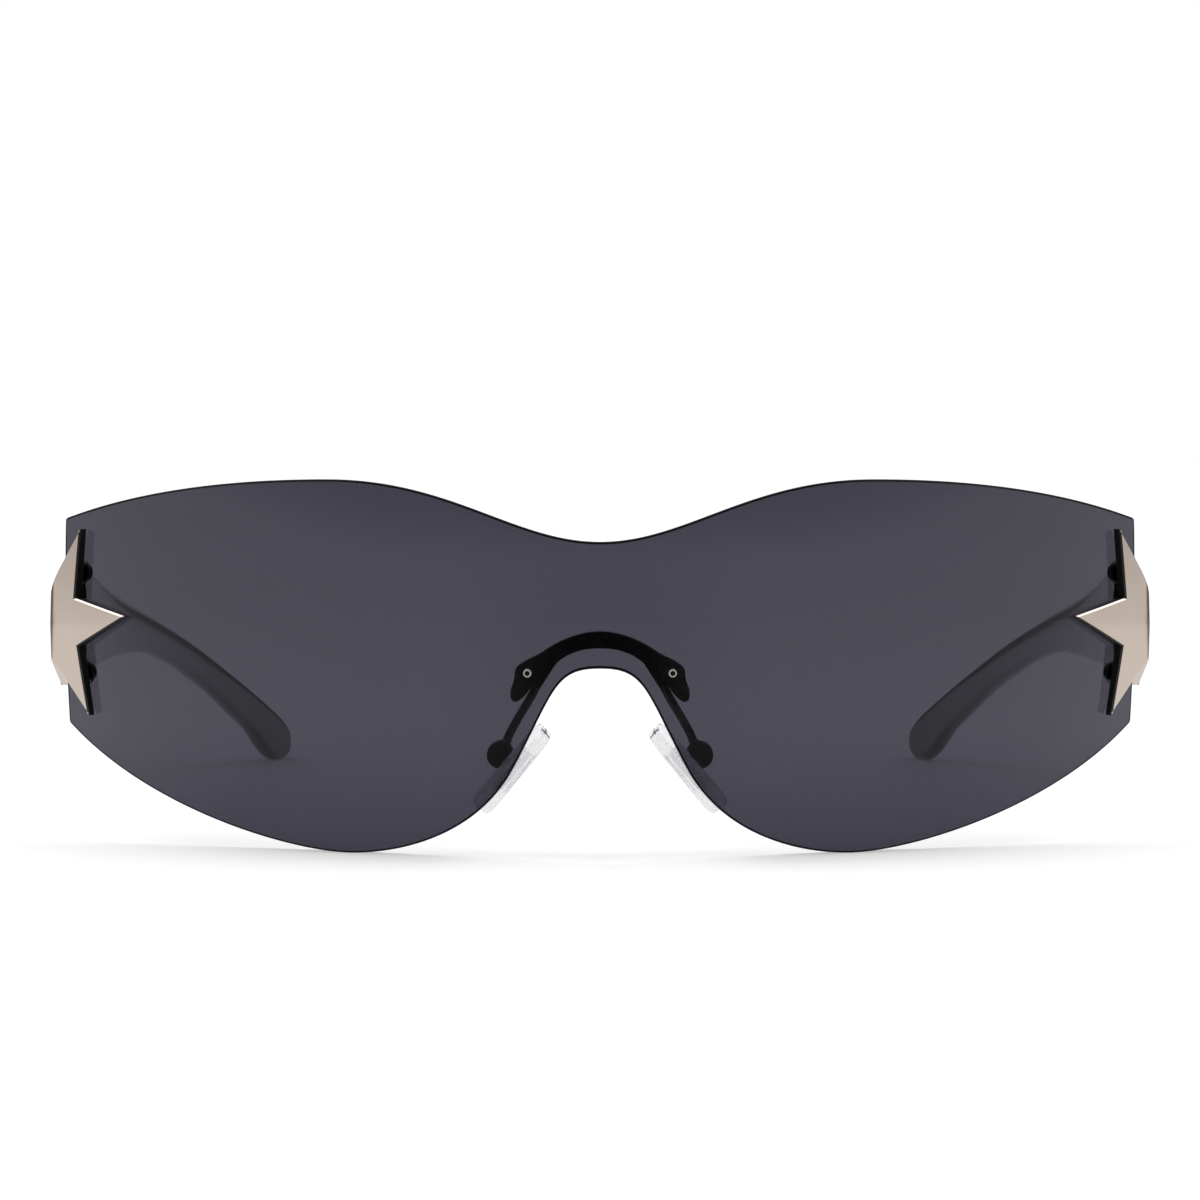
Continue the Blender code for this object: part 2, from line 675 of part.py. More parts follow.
def star_point(along, up):
    """A place on the star's inner face: along runs from the temple towards the nose, up from the centre.

    The face follows the lens, turns its corner and then runs straight back beside the temple.
    """
    height = STAR_HEIGHT + up
    radius = LENS_BEND_RADIUS - crown_drop(height) + CLEARANCE
    centre_depth = bend_centre_depth(height)
    corner_across = STAR_SIDE_OFFSET - STAR_CORNER_RADIUS
    start = math.asin(corner_across / (radius - STAR_CORNER_RADIUS))
    corner_depth = centre_depth - (radius - STAR_CORNER_RADIUS) * math.cos(start)
    past = -STAR_CORNER_AHEAD - along
    corner_length = (STAR_CORNER_RADIUS + STAR_THICKNESS) * (math.pi / 2 - start)
    if past < 0:
        angle = start + past / (radius + STAR_THICKNESS)
        return Vector((radius * math.sin(angle), centre_depth - radius * math.cos(angle), height))
    if past < corner_length:
        angle = start + past / (STAR_CORNER_RADIUS + STAR_THICKNESS)
        across = corner_across + STAR_CORNER_RADIUS * math.sin(angle)
        return Vector((across, corner_depth - STAR_CORNER_RADIUS * math.cos(angle), height))
    return Vector((STAR_SIDE_OFFSET, corner_depth + past - corner_length, height))


def star_outline():
    """The flat star as (along, up, is a tip), tips and valleys in turn."""
    outline = []
    for tip, share, valley in zip(STAR_TIP_ANGLES, STAR_TIP_SHARES, STAR_VALLEY_ANGLES):
        corners = ((tip, share * STAR_TIP_RADIUS, True), (valley, STAR_VALLEY_RADIUS, False))
        for angle, radius, is_tip in corners:
            turn = math.radians(angle)
            outline.append((radius * math.cos(turn), radius * math.sin(turn), is_tip))
    return outline


def star_thickness_share(along, up):
    """The star is thickest beside the temple, and thins towards the nose and towards its tips."""
    thinned = STAR_INWARD_THINNING_SHARE * max(0, along) + STAR_UPRIGHT_THINNING_SHARE * abs(up)
    return 1 - thinned / STAR_TIP_RADIUS


def star_cuts():
    """Where the flat star is cut into strips, so that it bends smoothly: along the star, then up it."""
    corner = (STAR_CORNER_RADIUS + STAR_THICKNESS) * STAR_CORNER_SWEEP
    count = math.ceil(STAR_TIP_RADIUS / STAR_STRIP)
    along = [step * STAR_STRIP for step in range(count)]
    along += [-STAR_CORNER_AHEAD - corner * step / STAR_CORNER_STEPS for step in range(STAR_CORNER_STEPS + 1)]
    up = [step * STAR_STRIP for step in range(-count, count)]
    return along, up


def star_face_mesh():
    bm = bmesh.new()
    outline = star_outline()
    verts = [bm.verts.new((along, up, 0)) for along, up, _ in outline]
    bm.faces.new(verts)
    tips = [vert for vert, (_, _, is_tip) in zip(verts, outline) if is_tip]
    bmesh.ops.bevel(bm, geom=tips, offset=STAR_TIP_ROUNDING, segments=2, profile=0.5, affect="VERTICES")
    along_cuts, up_cuts = star_cuts()
    cuts = [((along, 0, 0), (1, 0, 0)) for along in along_cuts]
    cuts += [((0, up, 0), (0, 1, 0)) for up in up_cuts]
    for place, normal in cuts:
        everything = bm.verts[:] + bm.edges[:] + bm.faces[:]
        bmesh.ops.bisect_plane(bm, geom=everything, dist=CUT_TOLERANCE, plane_co=place, plane_no=normal)
    bmesh.ops.triangulate(bm, faces=bm.faces)
    boss = bm.verts.layers.deform.verify()
    for vert in bm.verts:
        vert[boss][0] = star_thickness_share(vert.co.x, vert.co.y)
        vert.co = star_point(vert.co.x, vert.co.y)
    bmesh.ops.recalc_face_normals(bm, faces=bm.faces)
    if sum((face.normal * face.calc_area() for face in bm.faces), Vector()).x < 0:
        bmesh.ops.reverse_faces(bm, faces=bm.faces)
    return mesh_from(bm, "right_star")


def star_screw_places():
    """Level, height and distance across of the two screws."""
    return [(level, STAR_HEIGHT + rise, STAR_SIDE_OFFSET - inset) for level, rise, inset in STAR_SCREW_SEATS]


def hinge_across():
    return STAR_SIDE_OFFSET - CLEARANCE - KNUCKLE_RADIUS


def hinge_depth():
    return lens_depth(LENS_HALF_WIDTH, HINGE_HEIGHT) + HINGE_SETBACK


def star_knuckle_middles():
    """Heights of the two star knuckles above and below the leaf's."""
    apart = (LEAF_KNUCKLE_HEIGHT + STAR_KNUCKLE_HEIGHT) / 2 + CLEARANCE
    return (("upper", HINGE_HEIGHT + apart), ("lower", HINGE_HEIGHT - apart))


def make_star(parent):
    star = new_part("right_star", star_face_mesh(), parent, "champagne_metal")
    plate = star.modifiers.new("Thickness", "SOLIDIFY")
    plate.thickness = STAR_THICKNESS
    plate.offset = 1
    plate.use_even_offset = True
    plate.vertex_group = star.vertex_groups.new(name="Boss").name
    for level, middle in star_knuckle_middles():
        half = STAR_KNUCKLE_HEIGHT / 2
        name = f"right_{level}_knuckle"
        knuckle = cylinder_mesh(name, KNUCKLE_RADIUS, STAR_KNUCKLE_HEIGHT)
        place = Matrix.Translation((hinge_across(), hinge_depth(), middle))
        boolean(star, new_cutter(name, knuckle, parent, place), "UNION")
        lug = box_mesh(
            f"{name}_lug",
            (hinge_across(), hinge_depth() - KNUCKLE_RADIUS, middle - half),
            (STAR_SIDE_OFFSET + STAR_THICKNESS / 2, hinge_depth() + KNUCKLE_RADIUS, middle + half),
        )
        boolean(star, new_cutter(f"{name}_lug", lug, parent), "UNION")
    bore = cylinder_mesh("right_star_bore", HINGE_SCREW_RADIUS + CLEARANCE, TEMPLE_HEIGHT)
    boolean(star, new_cutter("right_star_bore", bore, parent, Matrix.Translation(hinge_place())))
    for level, height, across in star_screw_places():
        name = f"right_{level}_screw_seat"
        reach = 2 * (STAR_SCREW_DEPTH + CLEARANCE)
        seat = cylinder_mesh(name, STAR_SCREW_RADIUS + FINE_CLEARANCE, reach, SMALL_SEGMENTS)
        boolean(star, new_cutter(name, seat, parent, on_lens(across, height)))
    return star


def make_star_fasteners(parent, level, height, across):
    """A screw and washer behind the lens. Their Z axis points out of the lens."""
    place = on_lens(across, height)
    washer_front = -(LENS_THICKNESS + FINE_CLEARANCE)
    washer_back = washer_front - STAR_WASHER_THICKNESS
    head_front = washer_back - FINE_CLEARANCE
    head_back = head_front - STAR_SCREW_HEAD_THICKNESS
    profile = (
        (0, STAR_SCREW_DEPTH),
        (STAR_SCREW_RADIUS, STAR_SCREW_DEPTH),
        (STAR_SCREW_RADIUS, head_front),
        (STAR_SCREW_HEAD_RADIUS, head_front),
        (STAR_SCREW_HEAD_RADIUS, head_back),
        (0, head_back),
    )
    screw = turned_part(f"right_star_screw_{level}", profile, parent, "black_metal", place)
    inner = STAR_SCREW_RADIUS + FINE_CLEARANCE
    ring = (
        (inner, washer_front),
        (STAR_WASHER_RADIUS, washer_front),
        (STAR_WASHER_RADIUS, washer_back),
        (inner, washer_back),
    )
    washer = turned_part(f"right_star_washer_{level}", ring, parent, "nylon", place)
    return screw, washer


# Temples with their hinge leaves, screws and pins


def temple_start():
    return hinge_depth() + TEMPLE_SETBACK


def past_straight(depth):
    """How far this depth lies behind the start of the bow."""
    return max(0, depth - temple_start() - TEMPLE_STRAIGHT)


def temple_across(depth):
    """Middle of the blade's thickness, from the front: straight, then bowing in on a wide arc."""
    middle = STAR_SIDE_OFFSET - CLEARANCE - TEMPLE_THICKNESS / 2
    past = past_straight(depth)
    return middle - TEMPLE_BOW_RADIUS + math.sqrt(TEMPLE_BOW_RADIUS**2 - past**2)


def hinge_place():
    return Vector((hinge_across(), hinge_depth(), HINGE_HEIGHT))


def temple_length():
    """Short of the overall depth by what the turned tip's thickness adds."""
    turned = past_straight(OVERALL_DEPTH) / TEMPLE_BOW_RADIUS
    return OVERALL_DEPTH - temple_start() - TEMPLE_THICKNESS / 2 * turned


def rounded_section(half_width, half_height):
    """Points round a rectangle with round corners."""
    radius = min(TEMPLE_ROUNDING, half_height, half_width)
    points = []
    for quarter in range(4):
        for step in range(TEMPLE_CORNER_STEPS + 1):
            angle = math.pi / 2 * (quarter + step / TEMPLE_CORNER_STEPS)
            side = math.copysign(half_width - radius, 1 if quarter in (0, 3) else -1)
            level = math.copysign(half_height - radius, 1 if quarter in (0, 1) else -1)
            points.append((side + radius * math.cos(angle), level + radius * math.sin(angle)))
    return points


def temple_section(top, bottom, share):
    """The ring of points round the blade at this share of its length, in the hinge's frame."""
    high, low = point_along(top, share), point_along(bottom, share)
    middle = (high + low) / 2
    depth = temple_start() + middle.x
    turn = Matrix.Rotation(math.asin(past_straight(depth) / TEMPLE_BOW_RADIUS), 3, "Z")
    centre = Vector((temple_across(depth), depth, middle.y))
    upright = (high - low).normalized()
    into_end = max(0, 1 - (1 - share) * temple_length() / TEMPLE_TIP_ROUNDING)
    width_share = math.sqrt(1 - into_end**2 * (1 - TEMPLE_END_WIDTH_SHARE**2))
    ring = []
    for side, level in rounded_section(TEMPLE_THICKNESS / 2 * width_share, (high - low).length / 2):
        offset = Vector((side, upright.x * level, upright.y * level))
        ring.append(centre + turn @ offset - hinge_place())
    return ring


def make_temple(hinge):
    """A blade lofted through rounded sections from the hinge to the tip."""
    length = temple_length()
    top = bezier_chain(TEMPLE_TOP_SHARES, length, TEMPLE_HEIGHT)
    bottom = bezier_chain(TEMPLE_BOTTOM_SHARES, length, TEMPLE_HEIGHT)
    bm = bmesh.new()
    rings = []
    for station in range(TEMPLE_STATIONS + 1):
        left = 1 - station / TEMPLE_STATIONS
        section = temple_section(top, bottom, 1 - left**TEMPLE_STATION_POWER)
        rings.append([bm.verts.new(point) for point in section])
    for ring, following in zip(rings, rings[1:]):
        for index in range(len(ring)):
            after = (index + 1) % len(ring)
            bm.faces.new((ring[index], ring[after], following[after], following[index]))
    bm.faces.new(rings[0])
    bm.faces.new(rings[-1])
    bmesh.ops.recalc_face_normals(bm, faces=bm.faces)
    temple = new_part("right_temple", mesh_from(bm, "right_temple"), hinge, "dark_temple")
    boolean(temple, new_cutter("right_leaf_slot", leaf_mesh("right_leaf_slot", CLEARANCE), hinge))
    hole = cylinder_mesh(
        "right_pin_hole", LEAF_PIN_RADIUS + FINE_CLEARANCE, TEMPLE_THICKNESS + CUT_OVERRUN, SMALL_SEGMENTS
    )
    boolean(temple, new_cutter("right_pin_hole", hole, hinge, pin_place()))
    return temple


def leaf_middle():
    """The middle of the blade's thickness at its start, in the hinge's frame."""
    return temple_across(temple_start()) - hinge_across()


def leaf_mesh(name, growth):
    """The leaf's tongue in the hinge's frame, or the slot for it when grown."""
    thick, tall = LEAF_THICKNESS / 2 + growth, LEAF_HEIGHT / 2 + growth
    front = TEMPLE_SETBACK - CUT_OVERRUN if growth else TEMPLE_SETBACK
    back = TEMPLE_SETBACK + LEAF_LENGTH + growth
    middle = leaf_middle()
    return box_mesh(name, (middle - thick, front, -tall), (middle + thick, back, tall))


def pin_place():
    """The leaf pin runs across the blade."""
    depth = TEMPLE_SETBACK + LEAF_LENGTH * LEAF_PIN_SHARE
    return Matrix.Translation((leaf_middle(), depth, 0)) @ Matrix.Rotation(math.pi / 2, 4, "Y")


def make_hinge_leaf(hinge):
    """A knuckle between the star's two, and a tongue sunk into the temple."""
    knuckle = cylinder_mesh("right_hinge_leaf", KNUCKLE_RADIUS, LEAF_KNUCKLE_HEIGHT)
    leaf = new_part("right_hinge_leaf", knuckle, hinge, "black_metal")
    middle = leaf_middle()
    neck = box_mesh(
        "right_leaf_neck",
        (middle - LEAF_THICKNESS / 2, 0, -LEAF_KNUCKLE_HEIGHT / 2),
        (middle + LEAF_THICKNESS / 2, TEMPLE_SETBACK + LEAF_LENGTH / 2, LEAF_KNUCKLE_HEIGHT / 2),
    )
    boolean(leaf, new_cutter("right_leaf_neck", neck, hinge), "UNION")
    boolean(leaf, new_cutter("right_leaf_tongue", leaf_mesh("right_leaf_tongue", 0), hinge), "UNION")
    bore = cylinder_mesh("right_leaf_bore", HINGE_SCREW_RADIUS + CLEARANCE, TEMPLE_HEIGHT)
    boolean(leaf, new_cutter("right_leaf_bore", bore, hinge))
    hole_radius = LEAF_PIN_RADIUS + FINE_CLEARANCE
    hole = cylinder_mesh("right_leaf_pin_hole", hole_radius, TEMPLE_THICKNESS + CUT_OVERRUN, SMALL_SEGMENTS)
    boolean(leaf, new_cutter("right_leaf_pin_hole", hole, hinge, pin_place()))
    return leaf


def make_leaf_pin(hinge):
    mesh = cylinder_mesh("right_leaf_pin", LEAF_PIN_RADIUS, TEMPLE_THICKNESS, SMALL_SEGMENTS)
    return new_part("right_leaf_pin", mesh, hinge, "black_metal", pin_place())


def make_hinge_screw(parent):
    upper = star_knuckle_middles()[0][1] - HINGE_HEIGHT + STAR_KNUCKLE_HEIGHT / 2
    seat = upper + FINE_CLEARANCE
    profile = (
        (0, seat + HINGE_SCREW_HEAD_THICKNESS),
        (HINGE_SCREW_HEAD_RADIUS, seat + HINGE_SCREW_HEAD_THICKNESS),
        (HINGE_SCREW_HEAD_RADIUS, seat),
        (HINGE_SCREW_RADIUS, seat),
        (HINGE_SCREW_RADIUS, -upper),
        (0, -upper),
    )
    place = Matrix.Translation(hinge_place())
    return turned_part("right_hinge_screw", profile, parent, "silver_steel", place)


# Assembly

clear_scene()
PARTS = new_collection("wraparound_sunglasses")
CUTTERS = new_collection("cutters")

front = new_empty("front_frame", None, (0, -OVERALL_DEPTH / 2, 0))
pad_centre = Vector((PAD_AXIS_OFFSET, PAD_AXIS_DEPTH, PAD_AXIS_HEIGHT))
right_pivot = new_empty("right_pad_pivot", front, pad_centre)
left_pivot = new_empty("left_pad_pivot", front, MIRROR_X @ pad_centre)
right_hinge = new_empty("right_temple_hinge", front, hinge_place())
left_hinge = new_empty("left_temple_hinge", front, MIRROR_X @ hinge_place())
bpy.context.view_layer.update()

lens = make_lens(front)
bracket_hole_radius = BRACKET_SCREW_RADIUS + FINE_CLEARANCE
drill_lens(lens, front, "lens_bracket_hole", BRACKET_SCREW_OFFSET, BRACKET_SCREW_HEIGHT, bracket_hole_radius)
for level, height, across in star_screw_places():
    drill_lens(lens, front, f"lens_star_hole_{level}", across, height, STAR_SCREW_RADIUS + FINE_CLEARANCE)
make_bracket(front)

on_front = [*make_bracket_fasteners(front), make_pad_arm(front), make_star(front), make_hinge_screw(front)]
for level, height, across in star_screw_places():
    on_front += make_star_fasteners(front, level, height, across)
on_pivot = [make_pad_box(right_pivot), make_pad_screw(right_pivot)]
on_pivot += [make_pad_insert(right_pivot), make_nose_pad(right_pivot)]
on_hinge = [make_temple(right_hinge), make_hinge_leaf(right_hinge), make_leaf_pin(right_hinge)]

for parts, left_parent in ((on_front, front), (on_pivot, left_pivot), (on_hinge, left_hinge)):
    for part in parts:
        mirror_part(part, part.name.replace("right", "left"), left_parent)
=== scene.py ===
"""Rimless wraparound sunglasses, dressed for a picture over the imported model.

Lengths are in metres. X runs across the face, Y from the lens back to the temple tips, Z up. The right side
is modelled, and the left side is a copy of it turned over across the middle.
"""

import math

import bpy
from mathutils import Euler, Matrix, Vector
from mathutils.geometry import interpolate_bezier


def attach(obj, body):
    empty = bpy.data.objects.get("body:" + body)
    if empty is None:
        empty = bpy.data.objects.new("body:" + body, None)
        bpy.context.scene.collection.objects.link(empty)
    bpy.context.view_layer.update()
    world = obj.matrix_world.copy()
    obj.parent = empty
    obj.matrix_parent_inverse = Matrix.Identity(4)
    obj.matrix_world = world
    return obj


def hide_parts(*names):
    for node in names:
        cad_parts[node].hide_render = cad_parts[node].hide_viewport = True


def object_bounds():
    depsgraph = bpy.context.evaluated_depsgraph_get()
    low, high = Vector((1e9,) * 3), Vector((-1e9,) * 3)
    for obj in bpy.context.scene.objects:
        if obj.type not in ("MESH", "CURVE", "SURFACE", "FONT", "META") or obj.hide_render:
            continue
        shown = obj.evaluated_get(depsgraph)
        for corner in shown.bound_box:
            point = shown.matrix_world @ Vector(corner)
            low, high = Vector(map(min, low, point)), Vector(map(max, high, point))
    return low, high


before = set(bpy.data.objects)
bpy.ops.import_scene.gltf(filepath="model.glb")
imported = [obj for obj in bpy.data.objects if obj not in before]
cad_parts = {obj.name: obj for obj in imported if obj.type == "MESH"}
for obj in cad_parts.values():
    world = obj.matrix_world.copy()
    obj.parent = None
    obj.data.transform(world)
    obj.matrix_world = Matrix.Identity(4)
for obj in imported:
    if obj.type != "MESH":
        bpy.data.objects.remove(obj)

cad_low, cad_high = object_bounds()


# The studio. The sunglasses stand on white paper under a large softbox, with two smaller ones high behind
# them at the sides, for the light along their edges, and a dark flag below each of these. The camera is
# nearly half a metre in front of the lens, just above its top edge, and looks slightly down.
CAMERA_PLACE = (0, -0.529, 0.0529)
CAMERA_PITCH = math.radians(2.47)
CAMERA_FOCAL_MM = 106.56
CAMERA_NEAR = 0.01
FLOOR_SIZE = 12.0
PAPER_WHITE = 0.8
AMBIENT = 0.45
# How much the paper glows for the camera: near the sunglasses, where the lamps light it too, and far away
NEAR_GLOW = 0.43
FAR_GLOW = 0.64
GLOW_REACH = (0.15, 1.3)
TOP_LIGHT = {"place": (0, -0.05, 0.80), "size": 0.60, "watts": 1.0}
EDGE_LIGHT = {"size": 0.52, "watts": 1.9}
EDGE_LIGHT_PLACE = (0.535, 0.085, 0.786)
# A dark flag that only metal mirrors: the sines of the directions, back and up, between which it stands,
# and the strip of the paper that it covers, as distances from the middle and back from the lens
FLAG_BACK = (0.42, 0.97)
FLAG_BACK_FADES = (0.04, -0.01)
FLAG_RISE = 0.35
FLAG_RISE_FADE = -0.05
FLAG_DARKNESS = 0.85
FLAG_ACROSS = 0.16
FLAG_SETBACK = 0.14
FLAG_FADE = 0.03
# How much dimmer metal mirrors the room above this sine of the rise
SKY_RISE = 0.35
SKY_FALL = 0.25


class Signal:
    """What flows out of one socket of a finish. Sums and products of signals add Math nodes."""

    def __init__(self, tree, socket=None):
        self.tree = tree
        self.socket = socket

    def node(self, kind, settings=None, inputs=None, output=0):
        """Adds a node, with its settings made before its sockets are filled."""
        made = self.tree.nodes.new(kind)
        for name, value in (settings or {}).items():
            setattr(made, name, value)
        for name, value in (inputs or {}).items():
            if isinstance(value, Signal):
                self.tree.links.new(value.socket, made.inputs[name])
            else:
                made.inputs[name].default_value = value
        return Signal(self.tree, made.outputs[output])

    def math(self, operation, first, second):
        return self.node("ShaderNodeMath", {"operation": operation}, {0: first, 1: second})

    def __add__(self, other):
        return self.math("ADD", self, other)

    def __mul__(self, other):
        return self.math("MULTIPLY", self, other)

    def __sub__(self, other):
        return self.math("SUBTRACT", self, other)

    def __rsub__(self, other):
        return self.math("SUBTRACT", other, self)

    __radd__ = __add__
    __rmul__ = __mul__

    def size(self):
        return self.math("ABSOLUTE", self, 0)

    def largest(self, other):
        return self.math("MAXIMUM", self, other)

    def ramp(self, start, end, low=0.0, high=1.0):
        """Runs smoothly from low to high while this signal goes from start to end."""
        inputs = {"Value": self, "From Min": start, "From Max": end, "To Min": low, "To Max": high}
        return self.node("ShaderNodeMapRange", {"interpolation_type": "SMOOTHSTEP"}, inputs)

    def between(self, low, high):
        return low + (high - low) * self

    def step(self, at, fade):
        """Rises from 0 to 1 about this value, or falls where the fade is negative."""
        return self.ramp(at - fade, at + fade)

    def colours(self, low, high):
        """A colour between two, low where this signal is 0 and high where it is 1."""
        inputs = {0: self, 6: (*low, 1), 7: (*high, 1)}
        return self.node("ShaderNodeMix", {"data_type": "RGBA"}, inputs, 2)

    def part(self, axis):
        """One of the three parts of a place or a direction."""
        return self.node("ShaderNodeSeparateXYZ", inputs={0: self}, output=axis)

    def noise(self, scale, detail):
        """Soft noise over the places that this signal carries."""
        return self.node("ShaderNodeTexNoise", inputs={"Vector": self, "Scale": scale, "Detail": detail})

    def feed(self, node, socket):
        self.tree.links.new(self.socket, node.inputs[socket])

    def emboss(self, shader, strength, distance=0.00001):
        """Feeds this signal to a shader as its fine relief."""
        inputs = {"Height": self, "Strength": strength, "Distance": distance}
        self.node("ShaderNodeBump", inputs=inputs).feed(shader, "Normal")


def shows_paper(signal):
    """1 for the rays that show the surroundings themselves, 0 for those that only carry light."""
    seen = signal.node("ShaderNodeLightPath", output="Is Camera Ray")
    for name in ("Is Glossy Ray", "Is Transmission Ray"):
        seen = seen.largest(signal.node("ShaderNodeLightPath", output=name))
    return seen


def mirrored(signal):
    """1 for the rays off a polished surface, 0 for those that pass through the lens or the pads."""
    through = signal.node("ShaderNodeLightPath", output="Is Transmission Ray")
    return signal.node("ShaderNodeLightPath", output="Is Glossy Ray") * (1 - through)


def make_world():
    """White all round for the camera. Metal mirrors it dimmer overhead, and dark at the flags."""
    world = bpy.data.worlds.new("white_room")
    bpy.context.scene.world = world
    world.use_nodes = True
    world.node_tree.nodes.clear()
    signal = Signal(world.node_tree)
    direction = signal.node("ShaderNodeTexCoord", output="Generated")
    back, rise = direction.part("Y"), direction.part("Z")
    start, end = zip(FLAG_BACK, FLAG_BACK_FADES)
    flag = back.step(*start) * back.step(*end) * rise.step(FLAG_RISE, FLAG_RISE_FADE)
    dimming = mirrored(signal) * (FLAG_DARKNESS * flag).largest(rise.ramp(0.0, SKY_RISE, 0.0, SKY_FALL))
    light = signal.node("ShaderNodeBackground", inputs={"Color": (1, 1, 1, 1), "Strength": AMBIENT})
    paper = signal.node("ShaderNodeBackground", inputs={"Color": dimming.colours((1, 1, 1), (0, 0, 0))})
    mixed = signal.node("ShaderNodeMixShader", inputs={0: shows_paper(signal), 1: light, 2: paper})
    mixed.feed(world.node_tree.nodes.new("ShaderNodeOutputWorld"), "Surface")


def new_finish(name, colour, values):
    """A Principled material of this colour, its shader, and a signal with the places on a piece."""
    made = bpy.data.materials.new(name)
    made.use_nodes = True
    shader = made.node_tree.nodes["Principled BSDF"]
    for socket, value in {"Base Color": (*colour, 1), **values}.items():
        shader.inputs[socket].default_value = value
    return made, shader, Signal(made.node_tree).node("ShaderNodeTexCoord", output="Object")


def paper_finish():
    """White paper that glows for the camera, so that it stays white and keeps the shadow."""
    made, shader, place = new_finish("white_paper", [PAPER_WHITE] * 3, {"Roughness": 0.7})
    distance = place.node("ShaderNodeVectorMath", {"operation": "LENGTH"}, {0: place}, "Value")
    shade = distance.ramp(*GLOW_REACH).colours([NEAR_GLOW] * 3, [FAR_GLOW] * 3)
    glow = place.node("ShaderNodeEmission", inputs={"Color": shade})
    lit = Signal(made.node_tree, shader.outputs[0])
    glowing = place.node("ShaderNodeAddShader", inputs={0: lit, 1: glow})
    across, back = place.part("X").size(), place.part("Y")
    flag = across.step(FLAG_ACROSS, FLAG_FADE) * back.step(FLAG_SETBACK, FLAG_FADE)
    flag = flag * mirrored(place) * FLAG_DARKNESS
    dark = place.node("ShaderNodeEmission", inputs={"Strength": 0.0})
    glowing = place.node("ShaderNodeMixShader", inputs={0: flag, 1: glowing, 2: dark})
    mixed = place.node("ShaderNodeMixShader", inputs={0: shows_paper(place), 1: lit, 2: glowing})
    mixed.feed(made.node_tree.nodes["Material Output"], "Surface")
    return made


def add_softbox(name, place, size, watts):
    aim = Vector((0, 0, cad_high.z / 2)) - Vector(place)
    bpy.ops.object.light_add(type="AREA", location=place, rotation=aim.to_track_quat("-Z", "Y").to_euler())
    lamp = bpy.context.object
    lamp.name = name
    lamp.data.shape = "SQUARE"
    lamp.data.size = size
    lamp.data.energy = watts


bpy.context.scene.view_settings.view_transform = "Standard"
make_world()
bpy.ops.mesh.primitive_plane_add(size=FLOOR_SIZE)
paper = bpy.context.object
paper.name = "paper"
paper.data.materials.append(paper_finish())
add_softbox("top_softbox", **TOP_LIGHT)
for side in (-1, 1):
    away, behind, above = EDGE_LIGHT_PLACE
    add_softbox("edge_softbox", (side * away, behind, above), **EDGE_LIGHT)
bpy.ops.object.camera_add(location=CAMERA_PLACE, rotation=(math.pi / 2 - CAMERA_PITCH, 0, 0))
camera = bpy.context.object
camera.data.lens = CAMERA_FOCAL_MM
camera.data.clip_start = CAMERA_NEAR
bpy.context.scene.camera = camera


# The shield lens. One sheet of smoke-grey polyamide, moulded as part of a ring-shaped surface that bends
# round the face and curves from top to bottom. Its rim is drawn straight back, polished and lightly broken.
FRONT = -0.079
LENS_HALF_WIDTH = 0.0722
LENS_HEIGHT = 0.0487
LENS_THICKNESS = 0.0020
LENS_BEND_RADIUS = 0.108
LENS_CROWN_RADIUS = 0.070
LENS_EQUATOR_HEIGHT = 0.024
LENS_TILT = math.radians(4)
LENS_RIM = 0.00030
LENS_COLUMNS = 110
LENS_ROWS = 44
CURVE_SAMPLES = 60
CLEARANCE = 0.0003
SNUG = 0.00015
# Bezier points as shares of the half width and the height, from the middle outwards: a start, and then
# two handles and an end for each segment
TOP_EDGE_SHARES = (
    (0, 0.838),
    (0.151, 0.838), (0.262, 1), (0.487, 1),
    (0.677, 1), (0.851, 0.966), (1, 0.888),
)
BOTTOM_EDGE_SHARES = (
    (0, 0.508),
    (0.080, 0.508), (0.079, 0.454), (0.152, 0.246),
    (0.222, 0.046), (0.374, 0), (0.457, 0),
    (0.568, 0), (0.838, 0.103), (0.992, 0.324),
)
SMOKE = (0.0585, 0.0570, 0.0755)
EDGE_BLACK = (0.003, 0.003, 0.004)
# Painted shade: the lens is darkened towards the lower edge, for the shadowed paper seen through it, and
# towards the upper one, where it mirrors less, from these heights on
SHADE_FULL_HEIGHTS = (0.019, 0.037)
SHADE_TOP = 0.047
# The darkened upper band is this much higher at the sides, where the lens lies this far from the middle
SHADE_SIDE_LIFT = 0.008
SIDE_REACH = (0.020, 0.060)
SHADE_SHARES = (0.74, 0.74, 0.80)
DYE_DRIFT = (0.94, 1.06)
# The lens mirrors little in the middle, where it faces the dark room, and more towards the sides
LENS_MIRROR_SHARE = 0.05
COAT_REACH = (0.003, 0.022)
COAT_SHARE = 0.20
BRACKET_SCREW_PLACE = (0.0092, 0.0242)
BRACKET_SCREW_RADIUS = 0.0004
STAR_HEIGHT = 0.0292
STAR_SIDE = 0.0723
STAR_SCREW_SEATS = {"upper": (0.0070, 0.0017), "lower": (-0.0067, 0.0023)}
STAR_SCREW_RADIUS = 0.0005
ROUND_SIDES = 32
SMOOTH_ANGLE = math.radians(35)
SHARP_ANGLE = math.radians(40)
# The least rise of the normal of a face that counts as facing up
FACING = 0.9
# What lies flatter than this to the lens's surface is its front or its back, and the rest is its rim
RIM_TURN = math.cos(math.radians(5))


def crown_drop(height):
    """How far the crown has fallen back at this height."""
    rise = height - LENS_EQUATOR_HEIGHT
    return LENS_CROWN_RADIUS - math.sqrt(LENS_CROWN_RADIUS**2 - rise**2)


def bend_centre(height):
    return FRONT + LENS_BEND_RADIUS + (LENS_EQUATOR_HEIGHT - height) * math.tan(LENS_TILT)


def lens_front(across, height):
    radius = LENS_BEND_RADIUS - crown_drop(height)
    return bend_centre(height) - math.sqrt(radius**2 - across**2)


